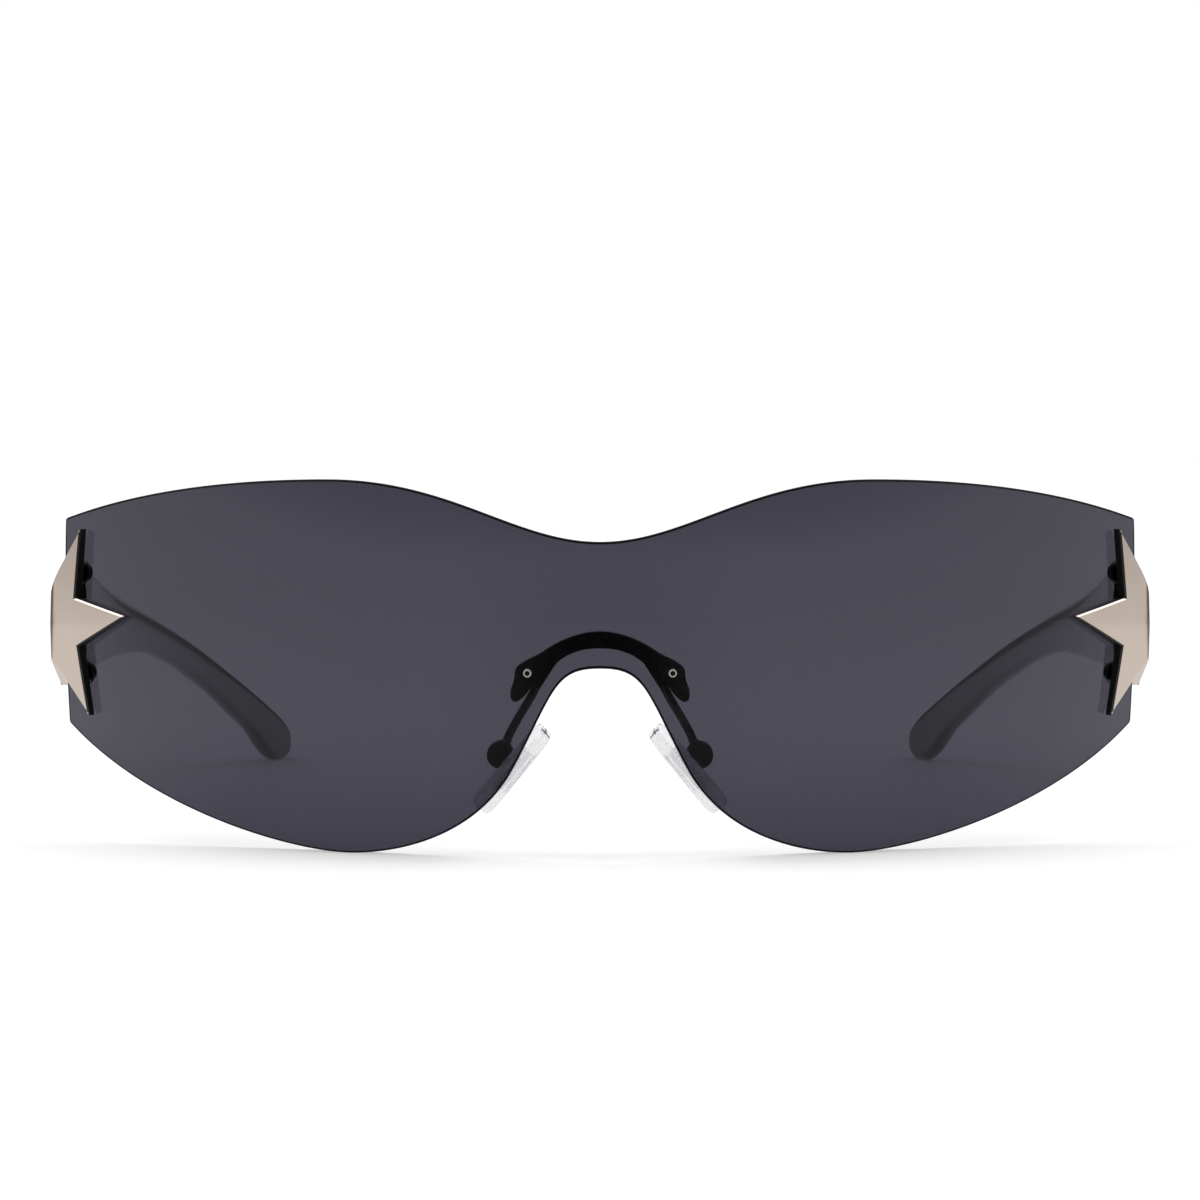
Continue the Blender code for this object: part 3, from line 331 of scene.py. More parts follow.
def lens_normal(across, height):
    """Outward normal of the lens's front face."""
    radius = LENS_BEND_RADIUS - crown_drop(height)
    level = math.sqrt(radius**2 - across**2)
    rise = height - LENS_EQUATOR_HEIGHT
    crown_slope = rise / math.sqrt(LENS_CROWN_RADIUS**2 - rise**2)
    return Vector((across / level, -1, crown_slope * radius / level - math.tan(LENS_TILT))).normalized()


def lens_back(across, height):
    return lens_front(across, height) - LENS_THICKNESS / lens_normal(across, height).y


def on_lens(across, height):
    """A frame on the lens's front face, with its Z axis along the outward normal."""
    turn = lens_normal(across, height).to_track_quat("Z", "Y")
    return Matrix.LocRotScale((across, lens_front(across, height), height), turn, None)


def bezier_chain(shares, width, height):
    corners = [Vector((across * width, up * height, 0)) for across, up in shares]
    points = [corners[0]]
    for start in range(0, len(corners) - 1, 3):
        points += interpolate_bezier(*corners[start : start + 4], CURVE_SAMPLES)[1:]
    return points


def point_along(points, share):
    """The point at this share of a polyline's length."""
    lengths = [(end - start).length for start, end in zip(points, points[1:])]
    left = share * sum(lengths)
    for start, end, length in zip(points, points[1:], lengths):
        if left <= length:
            return start.lerp(end, left / length)
        left -= length
    return points[-1].copy()


def object_mode():
    if bpy.context.mode != "OBJECT":
        bpy.ops.object.mode_set(mode="OBJECT")


def pick(*pieces):
    """Selects these pieces alone, with the last one active."""
    object_mode()
    bpy.ops.object.select_all(action="DESELECT")
    for piece in pieces:
        piece.select_set(True)
    bpy.context.view_layer.objects.active = pieces[-1]


def edit(piece, action="DESELECT"):
    """Starts edit mode on this piece alone, with no face of it selected, or with all of them."""
    pick(piece)
    bpy.ops.object.mode_set(mode="EDIT")
    bpy.ops.mesh.select_mode(type="FACE")
    bpy.ops.mesh.select_all(action=action)


def faces_up(face):
    return face.normal.z > FACING


def faces_down(face):
    return face.normal.z < -FACING


def faces_endways(face):
    return faces_up(face) or faces_down(face)


def face_outwards(piece):
    edit(piece, "SELECT")
    bpy.ops.mesh.normals_make_consistent(inside=False)
    object_mode()


def choose_faces(piece, wanted):
    """Selects the faces that the test picks, and stays in edit mode."""
    edit(piece)
    object_mode()
    for face in piece.data.polygons:
        face.select = wanted(face)
    bpy.ops.object.mode_set(mode="EDIT")


def done(piece, name, finish=None):
    """Names a piece, puts its place into its mesh, smooths it, and gives it its finish, if any."""
    pick(piece)
    piece.data.transform(piece.matrix_world)
    piece.matrix_world = Matrix()
    piece.name = piece.data.name = name
    bpy.ops.object.shade_smooth_by_angle(angle=SMOOTH_ANGLE)
    if finish:
        piece.data.materials.clear()
        piece.data.materials.append(finish)
    return piece


def apply_modifier(piece, kind, settings):
    modifier = piece.modifiers.new(kind, kind)
    for setting, value in settings.items():
        setattr(modifier, setting, value)
    bpy.context.view_layer.objects.active = piece
    bpy.ops.object.modifier_apply(modifier=kind)


def combine(piece, other, operation="DIFFERENCE"):
    """Takes the other mesh out of the piece, or welds it on, and removes it."""
    object_mode()
    apply_modifier(piece, "BOOLEAN", {"operation": operation, "object": other})
    bpy.data.objects.remove(other)


def put(piece, placing):
    piece.matrix_world = placing
    bpy.context.view_layer.update()


def drill(piece, placing, radius, length, sides=ROUND_SIDES):
    """A hole along the Z axis of the placing, this long on each side of it."""
    bpy.ops.mesh.primitive_cylinder_add(vertices=sides, radius=radius, depth=2 * length)
    cutter = bpy.context.object
    put(cutter, placing)
    combine(piece, cutter)


MIRROR = Matrix.Diagonal((-1, 1, 1, 1))


def both_sides(placing):
    return (placing, MIRROR @ placing @ MIRROR)


def other_side(piece):
    """The left-hand copy of a finished right-hand piece."""
    copy = piece.copy()
    copy.data = piece.data.copy()
    copy.name = copy.data.name = piece.name.replace("right", "left")
    bpy.context.scene.collection.objects.link(copy)
    copy.data.transform(MIRROR)
    copy.data.flip_normals()
    return copy


def fit(piece, body, node):
    """Hangs a finished piece on its body, in place of this node of the model."""
    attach(piece, body)
    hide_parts(node)


def fit_pair(piece, name, finish, body, node=None):
    """Finishes a right-hand piece, and hangs it and its left-hand copy on their bodies."""
    done(piece, f"{name}_right", finish)
    copy = other_side(piece)
    fit(piece, body, f"right_{node or name}")
    fit(copy, body.replace("right", "left"), f"left_{node or name}")


def wear(shader, patches, roughness, colours=()):
    """Runs soft noise through a finish's roughness, and between its colours where it has two."""
    patches.between(*roughness).feed(shader, "Roughness")
    if len(colours) > 1:
        patches.colours(*colours).feed(shader, "Base Color")


def worn_finish(name, colours, values, noise, roughness, relief=None, relief_noise=None):
    """A finish worn by soft noise of this scale and detail. Its relief, of this strength and distance,
    follows the same noise or one of its own."""
    made, shader, place = new_finish(name, colours[0], values)
    patches = place.noise(*noise)
    wear(shader, patches, roughness, colours)
    if relief:
        grain = place.noise(*relief_noise) if relief_noise else patches
        grain.emboss(shader, *relief)
    return made


def lens_finish():
    """Dyed right through, under a thin hard coat, with fine marks of wiping."""
    values = {
        "IOR": 1.5,
        "Transmission Weight": 1.0,
        "Specular Tint": (*[LENS_MIRROR_SHARE] * 3, 1),
        "Coat Roughness": 0.01,
    }
    made, shader, place = new_finish("smoke_lens", SMOKE, values)
    across, height = place.part("X").size(), place.part("Z")
    drift = place.noise(scale=28.0, detail=1.0)
    low, high = SHADE_FULL_HEIGHTS
    lift = across.ramp(*SIDE_REACH, 0.0, SHADE_SIDE_LIFT)
    # Painted shade towards the lower and upper edges, with a random drift of tone
    drift_and_shade = height.ramp(0.0, low) * (height - lift).ramp(SHADE_TOP, high) * drift.between(*DYE_DRIFT)
    shaded_smoke = [share * part for share, part in zip(SHADE_SHARES, SMOKE)]
    drift_and_shade.colours(shaded_smoke, SMOKE).feed(shader, "Base Color")
    wear(shader, place.noise(scale=160.0, detail=4.0), roughness=(0.001, 0.005))
    across.ramp(*COAT_REACH, 0.0, COAT_SHARE).feed(shader, "Coat Weight")
    return made


# The polished rim, where the dye is seen edge on and looks black
RIM_FINISH = worn_finish(
    "smoke_rim",
    colours=[EDGE_BLACK],
    values={"IOR": 1.5, "Specular IOR Level": 0.03},
    noise=(900.0, 3.0),
    roughness=(0.10, 0.25),
    relief=(0.2, 0.00001),
)


def set_lens_normals(mesh):
    """Gives front and back their exact normals, so that drilling leaves no mark in the reflections."""
    normals = [Vector()] * len(mesh.loops)
    for face in mesh.polygons:
        facing = face.normal.dot(lens_normal(face.center.x, face.center.z))
        if abs(facing) < RIM_TURN:
            continue
        side = math.copysign(1, facing)
        for loop in face.loop_indices:
            at = mesh.vertices[mesh.loops[loop].vertex_index].co
            normals[loop] = side * lens_normal(at.x, at.z)
    mesh.normals_split_custom_set(normals)


def make_lens():
    edges = (TOP_EDGE_SHARES, BOTTOM_EDGE_SHARES)
    top, bottom = [bezier_chain(shares, LENS_HALF_WIDTH, LENS_HEIGHT) for shares in edges]
    bpy.ops.mesh.primitive_grid_add(x_subdivisions=2 * LENS_COLUMNS, y_subdivisions=LENS_ROWS, size=2)
    lens = bpy.context.object
    for vert in lens.data.vertices:
        share = min(1, abs(vert.co.x))
        flat = point_along(bottom, share).lerp(point_along(top, share), (vert.co.y + 1) / 2)
        vert.co = (math.copysign(flat.x, vert.co.x), lens_front(flat.x, flat.y), flat.y)
    edit(lens, "SELECT")
    bpy.ops.mesh.extrude_region_move(TRANSFORM_OT_translate={"value": (0, LENS_THICKNESS, 0)})
    object_mode()
    for vert in lens.data.vertices:
        if vert.select:
            vert.co.y = lens_back(vert.co.x, vert.co.z)
    face_outwards(lens)
    edit(lens)
    bpy.ops.mesh.select_mode(type="EDGE")
    bpy.ops.mesh.edges_select_sharp(sharpness=SHARP_ANGLE)
    bpy.ops.mesh.bevel(offset=LENS_RIM, segments=2, affect="EDGES")
    done(lens, "lens", lens_finish())
    drillings = [(on_lens(*BRACKET_SCREW_PLACE), BRACKET_SCREW_RADIUS + SNUG)]
    for rise, inset in STAR_SCREW_SEATS.values():
        drillings.append((on_lens(STAR_SIDE - inset, STAR_HEIGHT + rise), STAR_SCREW_RADIUS + SNUG))
    for placing, radius in drillings:
        for place in both_sides(placing):
            drill(lens, place, radius, 3 * LENS_THICKNESS)
    done(lens, "lens")
    lens.data.materials.append(RIM_FINISH)
    for face in lens.data.polygons:
        outward = lens_normal(face.center.x, face.center.z)
        face.material_index = 0 if abs(face.normal.dot(outward)) > RIM_TURN else 1
    set_lens_normals(lens.data)
    fit(lens, "front", "shield_lens")


make_lens()


# The nose bracket. An arch of steel plate, pressed to the lens's bend and plated in black nickel, with a
# lobe and a notch at each end. It lies behind the lens and is held by two screws.
BRACKET_THICKNESS = 0.0016
BRACKET_HALF_WIDTH = 0.0115
BRACKET_HEIGHT = 0.0090
BRACKET_BASE_HEIGHT = 0.0204
BRACKET_ROUNDING = 0.0002
BRACKET_CURVE_STEPS = 10
BRACKET_STRIP = 0.0007
MERGE_DISTANCE = 0.000005
# Outline of the right half as shares of the half width and the height, from the crown of the arch down
# its outer side, round the lobe to the notch, and back up its inner side
BRACKET_OUTLINE_SHARES = (
    (0, 1), (0.24, 0.955), (0.47, 0.84), (0.69, 0.67), (0.83, 0.58), (0.93, 0.47),
    (0.945, 0.34), (0.99, 0.12), (0.975, 0.03), (0.93, 0.003), (0.885, 0.03),
    (0.75, 0.21), (0.665, 0.19), (0.475, 0.56), (0.32, 0.685), (0, 0.76),
)
# Which of these points are sharp, at the notch
BRACKET_CORNERS = (11, 12, 13)
BLACK_NICKEL = (0.10, 0.10, 0.104)
BLACK_NICKEL_WORN = (0.15, 0.148, 0.145)
# Black nickel plating: a dark mirror, dulled unevenly by handling
NICKEL_FINISH = worn_finish(
    "black_nickel",
    colours=(BLACK_NICKEL, BLACK_NICKEL_WORN),
    values={"Metallic": 1.0},
    noise=(420.0, 3.0),
    roughness=(0.14, 0.32),
    relief=(0.25, 0.00001),
    relief_noise=(5200.0, 2.0),
)


def slice_mesh(piece, step, reach, normal):
    """Cuts a flat piece into strips, so that it bends smoothly."""
    edit(piece)
    count = math.ceil(reach / step)
    for number in range(-count, count + 1):
        bpy.ops.mesh.select_all(action="SELECT")
        bpy.ops.mesh.bisect(plane_co=[step * number * part for part in normal], plane_no=normal)
    object_mode()


def make_bracket():
    half = []
    for number, (across, up) in enumerate(BRACKET_OUTLINE_SHARES):
        handle = "VECTOR" if number in BRACKET_CORNERS else "AUTO"
        half.append((handle, across * BRACKET_HALF_WIDTH, BRACKET_BASE_HEIGHT + up * BRACKET_HEIGHT))
    outline = half + [(handle, -across, up) for handle, across, up in half[-2:0:-1]]
    bpy.ops.curve.primitive_bezier_circle_add()
    bracket = bpy.context.object
    curve = bracket.data
    spline = curve.splines[0]
    spline.bezier_points.add(len(outline) - len(spline.bezier_points))
    for point, (handle, across, up) in zip(spline.bezier_points, outline):
        point.co = (across, up, 0)
        point.handle_left_type = point.handle_right_type = handle
    spline.resolution_u = BRACKET_CURVE_STEPS
    curve.dimensions = "2D"
    curve.fill_mode = "BOTH"
    curve.extrude = BRACKET_THICKNESS / 2 - BRACKET_ROUNDING
    curve.bevel_depth = BRACKET_ROUNDING
    curve.bevel_resolution = 2
    curve.offset = -BRACKET_ROUNDING
    bpy.ops.object.convert(target="MESH")
    edit(bracket, "SELECT")
    bpy.ops.mesh.remove_doubles(threshold=MERGE_DISTANCE)
    slice_mesh(bracket, BRACKET_STRIP, BRACKET_HALF_WIDTH, (1, 0, 0))
    for vert in bracket.data.vertices:
        across, height, ahead = vert.co
        behind = CLEARANCE + BRACKET_THICKNESS / 2 - ahead
        vert.co = (across, lens_back(across, height) + behind, height)
    face_outwards(bracket)
    done(bracket, "bracket", NICKEL_FINISH)
    for place in both_sides(on_lens(*BRACKET_SCREW_PLACE)):
        drill(bracket, place, BRACKET_SCREW_RADIUS + SNUG, 3 * (LENS_THICKNESS + BRACKET_THICKNESS))
    done(bracket, "bracket")
    fit(bracket, "front", "nose_bracket")


make_bracket()


# The bracket's screws and nuts. Small machine screws of bare stainless steel, turned with a low chamfered
# head and broached with a hexagon socket, are put in from the front. A black hexagon nut holds each behind.
BRACKET_SCREW_HEAD_RADIUS = 0.00054
BRACKET_SCREW_HEAD = 0.0004
SOCKET_RADIUS = 0.00037
SOCKET_DEPTH = 0.00028
NUT_RADIUS = 0.0010
NUT_THICKNESS = 0.0009
STEEL = (0.43, 0.38, 0.34)
STEEL_DARK = (0.31, 0.27, 0.24)
RECESS_SHADE = (0.003, 0.002, 0.002)
# Stainless steel as it comes off the lathe, with fine turning marks and a little dulling
STEEL_FINISH = worn_finish(
    "bare_steel",
    colours=(STEEL_DARK, STEEL),
    values={"Metallic": 1.0},
    noise=(1500.0, 3.0),
    roughness=(0.20, 0.40),
    relief=(0.3, 0.00001),
)
# Painted shade: near black for the inside of a driver recess, where little light reaches
RECESS_SHADE_FINISH = worn_finish(
    "painted_recess_shade",
    colours=[RECESS_SHADE],
    values={"Specular IOR Level": 0.1},
    noise=(3000.0, 2.0),
    roughness=(0.35, 0.65),
)


def darken_socket(screw):
    """Paints shade on the faces inside the socket of an unplaced screw, with the recess's near-black
    finish.
    """
    screw.data.materials.append(RECESS_SHADE_FINISH)
    margin = BRACKET_SCREW_HEAD / 10
    for face in screw.data.polygons:
        inside = math.hypot(face.center.x, face.center.y) < SOCKET_RADIUS
        if inside and margin < face.center.z < BRACKET_SCREW_HEAD - margin:
            face.material_index = 1


def screw_blank(head_radius, head, shank_radius, shank):
    """A headed screw along its own Z axis, with the seat of the head at the origin."""
    bpy.ops.mesh.primitive_cylinder_add(vertices=ROUND_SIDES, radius=head_radius, depth=head)
    screw = bpy.context.object
    screw.data.transform(Matrix.Translation((0, 0, head / 2)))
    choose_faces(screw, faces_down)
    bpy.ops.mesh.inset(thickness=head_radius - shank_radius)
    bpy.ops.mesh.extrude_region_move(TRANSFORM_OT_translate={"value": (0, 0, -shank)})
    bpy.ops.mesh.inset(thickness=shank_radius / 4, depth=shank_radius / 5)
    choose_faces(screw, faces_up)
    bpy.ops.mesh.bevel(offset=head / 3, segments=3, affect="EDGES")
    object_mode()
    return screw


def make_bracket_screw():
    screw = screw_blank(
        BRACKET_SCREW_HEAD_RADIUS,
        BRACKET_SCREW_HEAD,
        BRACKET_SCREW_RADIUS,
        LENS_THICKNESS + BRACKET_THICKNESS + NUT_THICKNESS + 2 * CLEARANCE,
    )
    drill(screw, Matrix.Translation((0, 0, BRACKET_SCREW_HEAD)), SOCKET_RADIUS, SOCKET_DEPTH, 6)
    screw.data.materials.append(STEEL_FINISH)
    darken_socket(screw)
    screw.matrix_world = on_lens(*BRACKET_SCREW_PLACE) @ Matrix.Translation((0, 0, SNUG))
    fit_pair(screw, "bracket_screw", None, "front")


def drum(radius, length, rounding, sides, ends, segments=2):
    """A cylinder about the Z axis, with the ends that the test picks lightly rounded."""
    bpy.ops.mesh.primitive_cylinder_add(vertices=sides, radius=radius, depth=length)
    made = bpy.context.object
    choose_faces(made, ends)
    bpy.ops.mesh.bevel(offset=rounding, segments=segments, affect="EDGES")
    object_mode()
    return made


def make_nut():
    behind = LENS_THICKNESS + BRACKET_THICKNESS + 2 * CLEARANCE + NUT_THICKNESS / 2
    nut = drum(NUT_RADIUS, NUT_THICKNESS, NUT_THICKNESS / 6, 6, faces_down)
    drill(nut, Matrix(), BRACKET_SCREW_RADIUS + SNUG, NUT_THICKNESS)
    nut.matrix_world = on_lens(*BRACKET_SCREW_PLACE) @ Matrix.Translation((0, 0, -behind))
    fit_pair(nut, "nut", NICKEL_FINISH, "front", "bracket_nut")


make_bracket_screw()
make_nut()


# The pad arms. Wires silver-soldered to the back of the bracket and plated with it. Each one is bent down
# and back to the top of its pad box, with a small fillet of solder where it meets the plate and the box.
PAD_AXIS = Vector((0.01285, FRONT + 0.0110, 0.0131))
PAD_BOX_RADIUS = 0.00175
PAD_ARM_RADIUS = 0.00055
PAD_ARM_APPROACH = math.radians(24)
PAD_ARM_SOLDER_SHARES = (0.61, 0.44)
PAD_ARM_EDGE_SHARES = (0.705, 0.20)
WIRE_STEPS = 24
MOUND_RADII = (0.00066, 0.0009, 0.0016)
COLLAR_RADII = (0.0008, 0.0008, 0.0005)


def behind_bracket(across_share, up_share):
    """A place for the arm's middle against the back of the bracket."""
    across = across_share * BRACKET_HALF_WIDTH
    height = BRACKET_BASE_HEIGHT + up_share * BRACKET_HEIGHT
    back = lens_back(across, height) + CLEARANCE + BRACKET_THICKNESS
    return Vector((across, back + CLEARANCE + PAD_ARM_RADIUS, height))


def add_fillet(place, radii, turn=0):
    """A drop of solder, drawn out into a flat mound."""
    bpy.ops.mesh.primitive_ico_sphere_add(subdivisions=3, radius=1, location=place, rotation=(0, turn, 0))
    drop = bpy.context.object
    drop.scale = radii
    return drop


def make_pad_arm():
    approach = Vector((-math.sin(PAD_ARM_APPROACH), 0, math.cos(PAD_ARM_APPROACH)))
    end = PAD_AXIS + approach * PAD_BOX_RADIUS
    edge = behind_bracket(*PAD_ARM_EDGE_SHARES)
    solder = behind_bracket(*PAD_ARM_SOLDER_SHARES)
    bpy.ops.curve.primitive_bezier_curve_add()
    arm = bpy.context.object
    curve = arm.data
    curve.bevel_depth = PAD_ARM_RADIUS
    curve.bevel_resolution = 5
    curve.use_fill_caps = True
    spline = curve.splines[0]
    spline.resolution_u = WIRE_STEPS
    spline.bezier_points.add(1)
    for point, place in zip(spline.bezier_points, (solder, edge, end)):
        point.co = place
        point.handle_left_type = point.handle_right_type = "AUTO"
    last = spline.bezier_points[-1]
    last.handle_left_type = "FREE"
    last.handle_left = end + approach * (edge - end).length / 3
    bpy.ops.object.convert(target="MESH")
    edit(arm, "SELECT")
    bpy.ops.mesh.remove_doubles(threshold=MERGE_DISTANCE)
    object_mode()
    lean = math.atan2(solder.x - edge.x, solder.z - edge.z)
    mound = add_fillet((solder + edge) / 2, MOUND_RADII, lean)
    collar = add_fillet(end, COLLAR_RADII, PAD_ARM_APPROACH)
    pick(mound, collar, arm)
    bpy.ops.object.join()
    fit_pair(arm, "pad_arm", NICKEL_FINISH, "front")


make_pad_arm()


# The pad boxes and their screws. Each box is a small drum of black-nickelled steel, cut flat and slotted on
# the side of the pad, so that two cheeks hold the pad's tab. A slotted screw runs through from the front.
TAB_THICKNESS = 0.0012
TAB_RADIUS = 0.00105
PAD_BOX_CHEEK = 0.0005
PAD_BOX_PAD_SIDE = 0.00085
PAD_BOX_ROUNDING = 0.0002
PAD_BOX_SIDES = 48
PAD_LEAN = math.radians(40)
PAD_SCREW_RADIUS = 0.00035
PAD_SCREW_HEAD_RADIUS = 0.00075
PAD_SCREW_HEAD = 0.0003
# Length, width and depth
PAD_SCREW_SLOT = (0.0015, 0.00025, 0.00015)
CUT_OVERRUN = 0.001
# A frame on the pad screw, leaned with the pad. X points away from the nose, and Y back
LEANED = Matrix.Translation(PAD_AXIS) @ Matrix.Rotation(-PAD_LEAN, 4, "Y")
# The same with its Z axis along the screw
ALONG_SCREW = LEANED @ Matrix.Rotation(math.pi / 2, 4, "X")


def block(low, high, placing):
    """A plain block to cut with, between two corners in the placing's frame."""
    low, high = Vector(low), Vector(high)
    bpy.ops.mesh.primitive_cube_add(size=1)
    made = bpy.context.object
    put(made, placing @ Matrix.LocRotScale((low + high) / 2, None, high - low))
    return made


def cut_slot(screw, top, slot, turn=0):
    """A driver slot across the head of an unplaced screw."""
    length, width, depth = slot
    half = Vector((length / 2, width / 2, depth))
    combine(screw, block(-half, half, Matrix.LocRotScale((0, 0, top), Euler((0, 0, turn)), None)))


def make_pad_box():
    slot = TAB_THICKNESS / 2 + CLEARANCE
    half = slot + PAD_BOX_CHEEK
    reach = PAD_BOX_RADIUS + CUT_OVERRUN
    box = drum(PAD_BOX_RADIUS, 2 * half, PAD_BOX_ROUNDING, PAD_BOX_SIDES, faces_endways, 3)
    put(box, ALONG_SCREW)
    for end, side in ((-PAD_BOX_PAD_SIDE, half + CUT_OVERRUN), (TAB_RADIUS + CLEARANCE, slot)):
        combine(box, block((-reach, -side, -reach), (end, side, reach), LEANED))
    drill(box, ALONG_SCREW, PAD_SCREW_RADIUS + SNUG, 2 * half)
    fit_pair(box, "pad_box", NICKEL_FINISH, "front")


def make_pad_screw():
    half = TAB_THICKNESS / 2 + CLEARANCE + PAD_BOX_CHEEK
    screw = screw_blank(PAD_SCREW_HEAD_RADIUS, PAD_SCREW_HEAD, PAD_SCREW_RADIUS, 2 * half + SNUG)
    cut_slot(screw, PAD_SCREW_HEAD, PAD_SCREW_SLOT)
    towards_front = Matrix.Translation(PAD_AXIS) @ Matrix.Rotation(math.pi / 2, 4, "X")
    screw.matrix_world = towards_front @ Matrix.Translation((0, 0, half + SNUG))
    fit_pair(screw, "pad_screw", NICKEL_FINISH, "front")


make_pad_box()
make_pad_screw()


# The nose pads. Soft leaves of clear silicone, moulded round a core of clear polycarbonate, whose tab sits
# on the screw between the box's cheeks.
PAD_LENGTH = 0.0135
PAD_WIDTH = 0.0070
PAD_THICKNESS = 0.0018
PAD_TOP_WIDTH_SHARE = 0.78
PAD_STANDOFF = 0.0025
PAD_DROP = 0.0006
PAD_SPLAY = math.radians(14)
FOOT_LENGTH = 0.0060
FOOT_WIDTH = 0.0030
FOOT_THICKNESS = 0.0006
NECK_LENGTH = 0.0015
# The silicone leaf's own frame, with X through its thickness and Z up its length
SPLAYED = LEANED @ Matrix.Rotation(-PAD_SPLAY, 4, "Z") @ Matrix.Translation((-PAD_STANDOFF, 0, -PAD_DROP))
SILICONE = (0.96, 0.96, 0.97)
CORE = (0.92, 0.92, 0.94)
# Clear, a little milky, with the faint bloom that handling leaves
SILICONE_FINISH = worn_finish(
    "clear_silicone",
    colours=[SILICONE],
    values={"IOR": 1.18, "Transmission Weight": 0.90},
    noise=(600.0, 3.0),
    roughness=(0.03, 0.09),
    relief=(0.2, 0.00002),
)
# Clear hard plastic, slightly greyer than the silicone round it
CORE_FINISH = worn_finish(
    "clear_core",
    colours=[CORE],
    values={"IOR": 1.22, "Transmission Weight": 0.94},
    noise=(900.0, 2.0),
    roughness=(0.08, 0.16),
)


def foot_block(room):
    """The core's foot inside the silicone, with this much room round it."""
    half = Vector((FOOT_THICKNESS, FOOT_WIDTH, FOOT_LENGTH)) / 2 + Vector((room, room, room))
    return block(-half, half, SPLAYED)


def neck_block(room):
    """The neck between tab and foot, with this much room round it."""
    side = TAB_THICKNESS / 2 + room
    level = NECK_LENGTH / 2 + room
    low = (-PAD_STANDOFF, -side, -PAD_DROP / 2 - level)
    return block(low, (0, side, level - PAD_DROP / 2), LEANED)


def make_nose_pad():
    bpy.ops.mesh.primitive_cube_add(size=1)
    pad = bpy.context.object
    edit(pad, "SELECT")
    bpy.ops.mesh.subdivide(number_cuts=2)
    object_mode()
    for vert in pad.data.vertices:
        vert.co.y *= 1 + (PAD_TOP_WIDTH_SHARE - 1) * (vert.co.z + 0.5)
    pad.matrix_world = SPLAYED @ Matrix.Diagonal((PAD_THICKNESS, PAD_WIDTH, PAD_LENGTH, 1))
    apply_modifier(pad, "SUBSURF", {"levels": 4, "render_levels": 4})
    combine(pad, foot_block(SNUG))
    combine(pad, neck_block(CLEARANCE))
    fit_pair(pad, "nose_pad", SILICONE_FINISH, "right_pad")


def make_pad_core():
    bpy.ops.mesh.primitive_cylinder_add(vertices=ROUND_SIDES, radius=TAB_RADIUS, depth=TAB_THICKNESS)
    core = bpy.context.object
    put(core, ALONG_SCREW)
    for part in (neck_block(0), foot_block(0)):
        combine(core, part, "UNION")
    drill(core, ALONG_SCREW, PAD_SCREW_RADIUS + SNUG, TAB_THICKNESS)
    fit_pair(core, "pad_core", CORE_FINISH, "right_pad", "pad_insert")


make_nose_pad()
make_pad_core()


# The star end pieces. Five-pointed stars cast in zinc alloy, which turn the corner to the temple, with two
# hinge knuckles inside. They are polished and plated in champagne, and black on the sides in front.

# The outline has tips and valleys in turn, as angles and distances from the star's centre
STAR_TIP_RADIUS = 0.0134
STAR_TIP_SHARES = (0.91, 1, 1, 1, 1)
STAR_TIP_ANGLES = (6, 73, 150, 222, 294)
STAR_VALLEY_RADIUS = 0.0048
STAR_VALLEY_ANGLES = (47, 114, 186, 258, 323)
STAR_THICKNESS = 0.0017
STAR_INWARD_THINNING_SHARE = 0.60
STAR_UPRIGHT_THINNING_SHARE = 0.16
STAR_TIP_ROUNDING = 0.0002
STAR_CHAMFER = 0.00020
# The black lies on sides, which rise less than this, and on chamfers with this slope towards the nose. It
# ends at this place along the star, on the way round the corner
STAR_BLACK_RISE = 0.1
STAR_BLACK_SLOPE = 0.25
STAR_BLACK_END = -0.0035
STAR_CORNER_RADIUS = 0.0010
STAR_CORNER_AHEAD = 0.0003
STAR_STRIP = 0.0005
HINGE_HEIGHT = STAR_HEIGHT
HINGE_SETBACK = 0.0044
KNUCKLE_RADIUS = 0.0015
KNUCKLE_SIDES = 40
HINGE_ROUNDING = 0.0001
LEAF_KNUCKLE_HEIGHT = 0.0035
STAR_KNUCKLE_HEIGHT = 0.0022
# From the middle of the leaf's knuckle to those of the star's
KNUCKLE_RISE = (LEAF_KNUCKLE_HEIGHT + STAR_KNUCKLE_HEIGHT) / 2 + CLEARANCE
HINGE_SCREW_RADIUS = 0.0006
HINGE_AXIS = Vector((
    STAR_SIDE - CLEARANCE - KNUCKLE_RADIUS,
    lens_front(LENS_HALF_WIDTH, HINGE_HEIGHT) + HINGE_SETBACK,
    HINGE_HEIGHT,
))
CHAMPAGNE = (0.53, 0.455, 0.40)
CHAMPAGNE_DEEP = (0.49, 0.415, 0.36)
BLACK = (0.004, 0.004, 0.004)
BLACK_WORN = (0.010, 0.010, 0.010)
# Gloss black for the sides of the casting in front, the star's knuckles and its screws, with a fine orange
# peel
BLACK_FINISH = worn_finish(
    "gloss_black",
    colours=(BLACK, BLACK_WORN),
    values={"Specular IOR Level": 0.3},
    noise=(420.0, 3.0),
    roughness=(0.12, 0.26),
    relief=(0.3, 0.00001),
    relief_noise=(5200.0, 2.0),
)


def champagne_finish():
    """Champagne plating: polished, with fine hairlines from wiping and a slight drift of colour."""
    made, shader, place = new_finish("champagne_plating", CHAMPAGNE, {"Metallic": 1.0})
    drift = place.noise(scale=180.0, detail=2.0)
    drift.colours(CHAMPAGNE_DEEP, CHAMPAGNE).feed(shader, "Base Color")
    grain = place.node("ShaderNodeMapping", inputs={"Vector": place, "Scale": (900.0, 900.0, 6000.0)})
    hairlines = grain.noise(scale=1.0, detail=2.0)
    wear(shader, hairlines, roughness=(0.16, 0.26))
    hairlines.emboss(shader, strength=0.15)
    return made


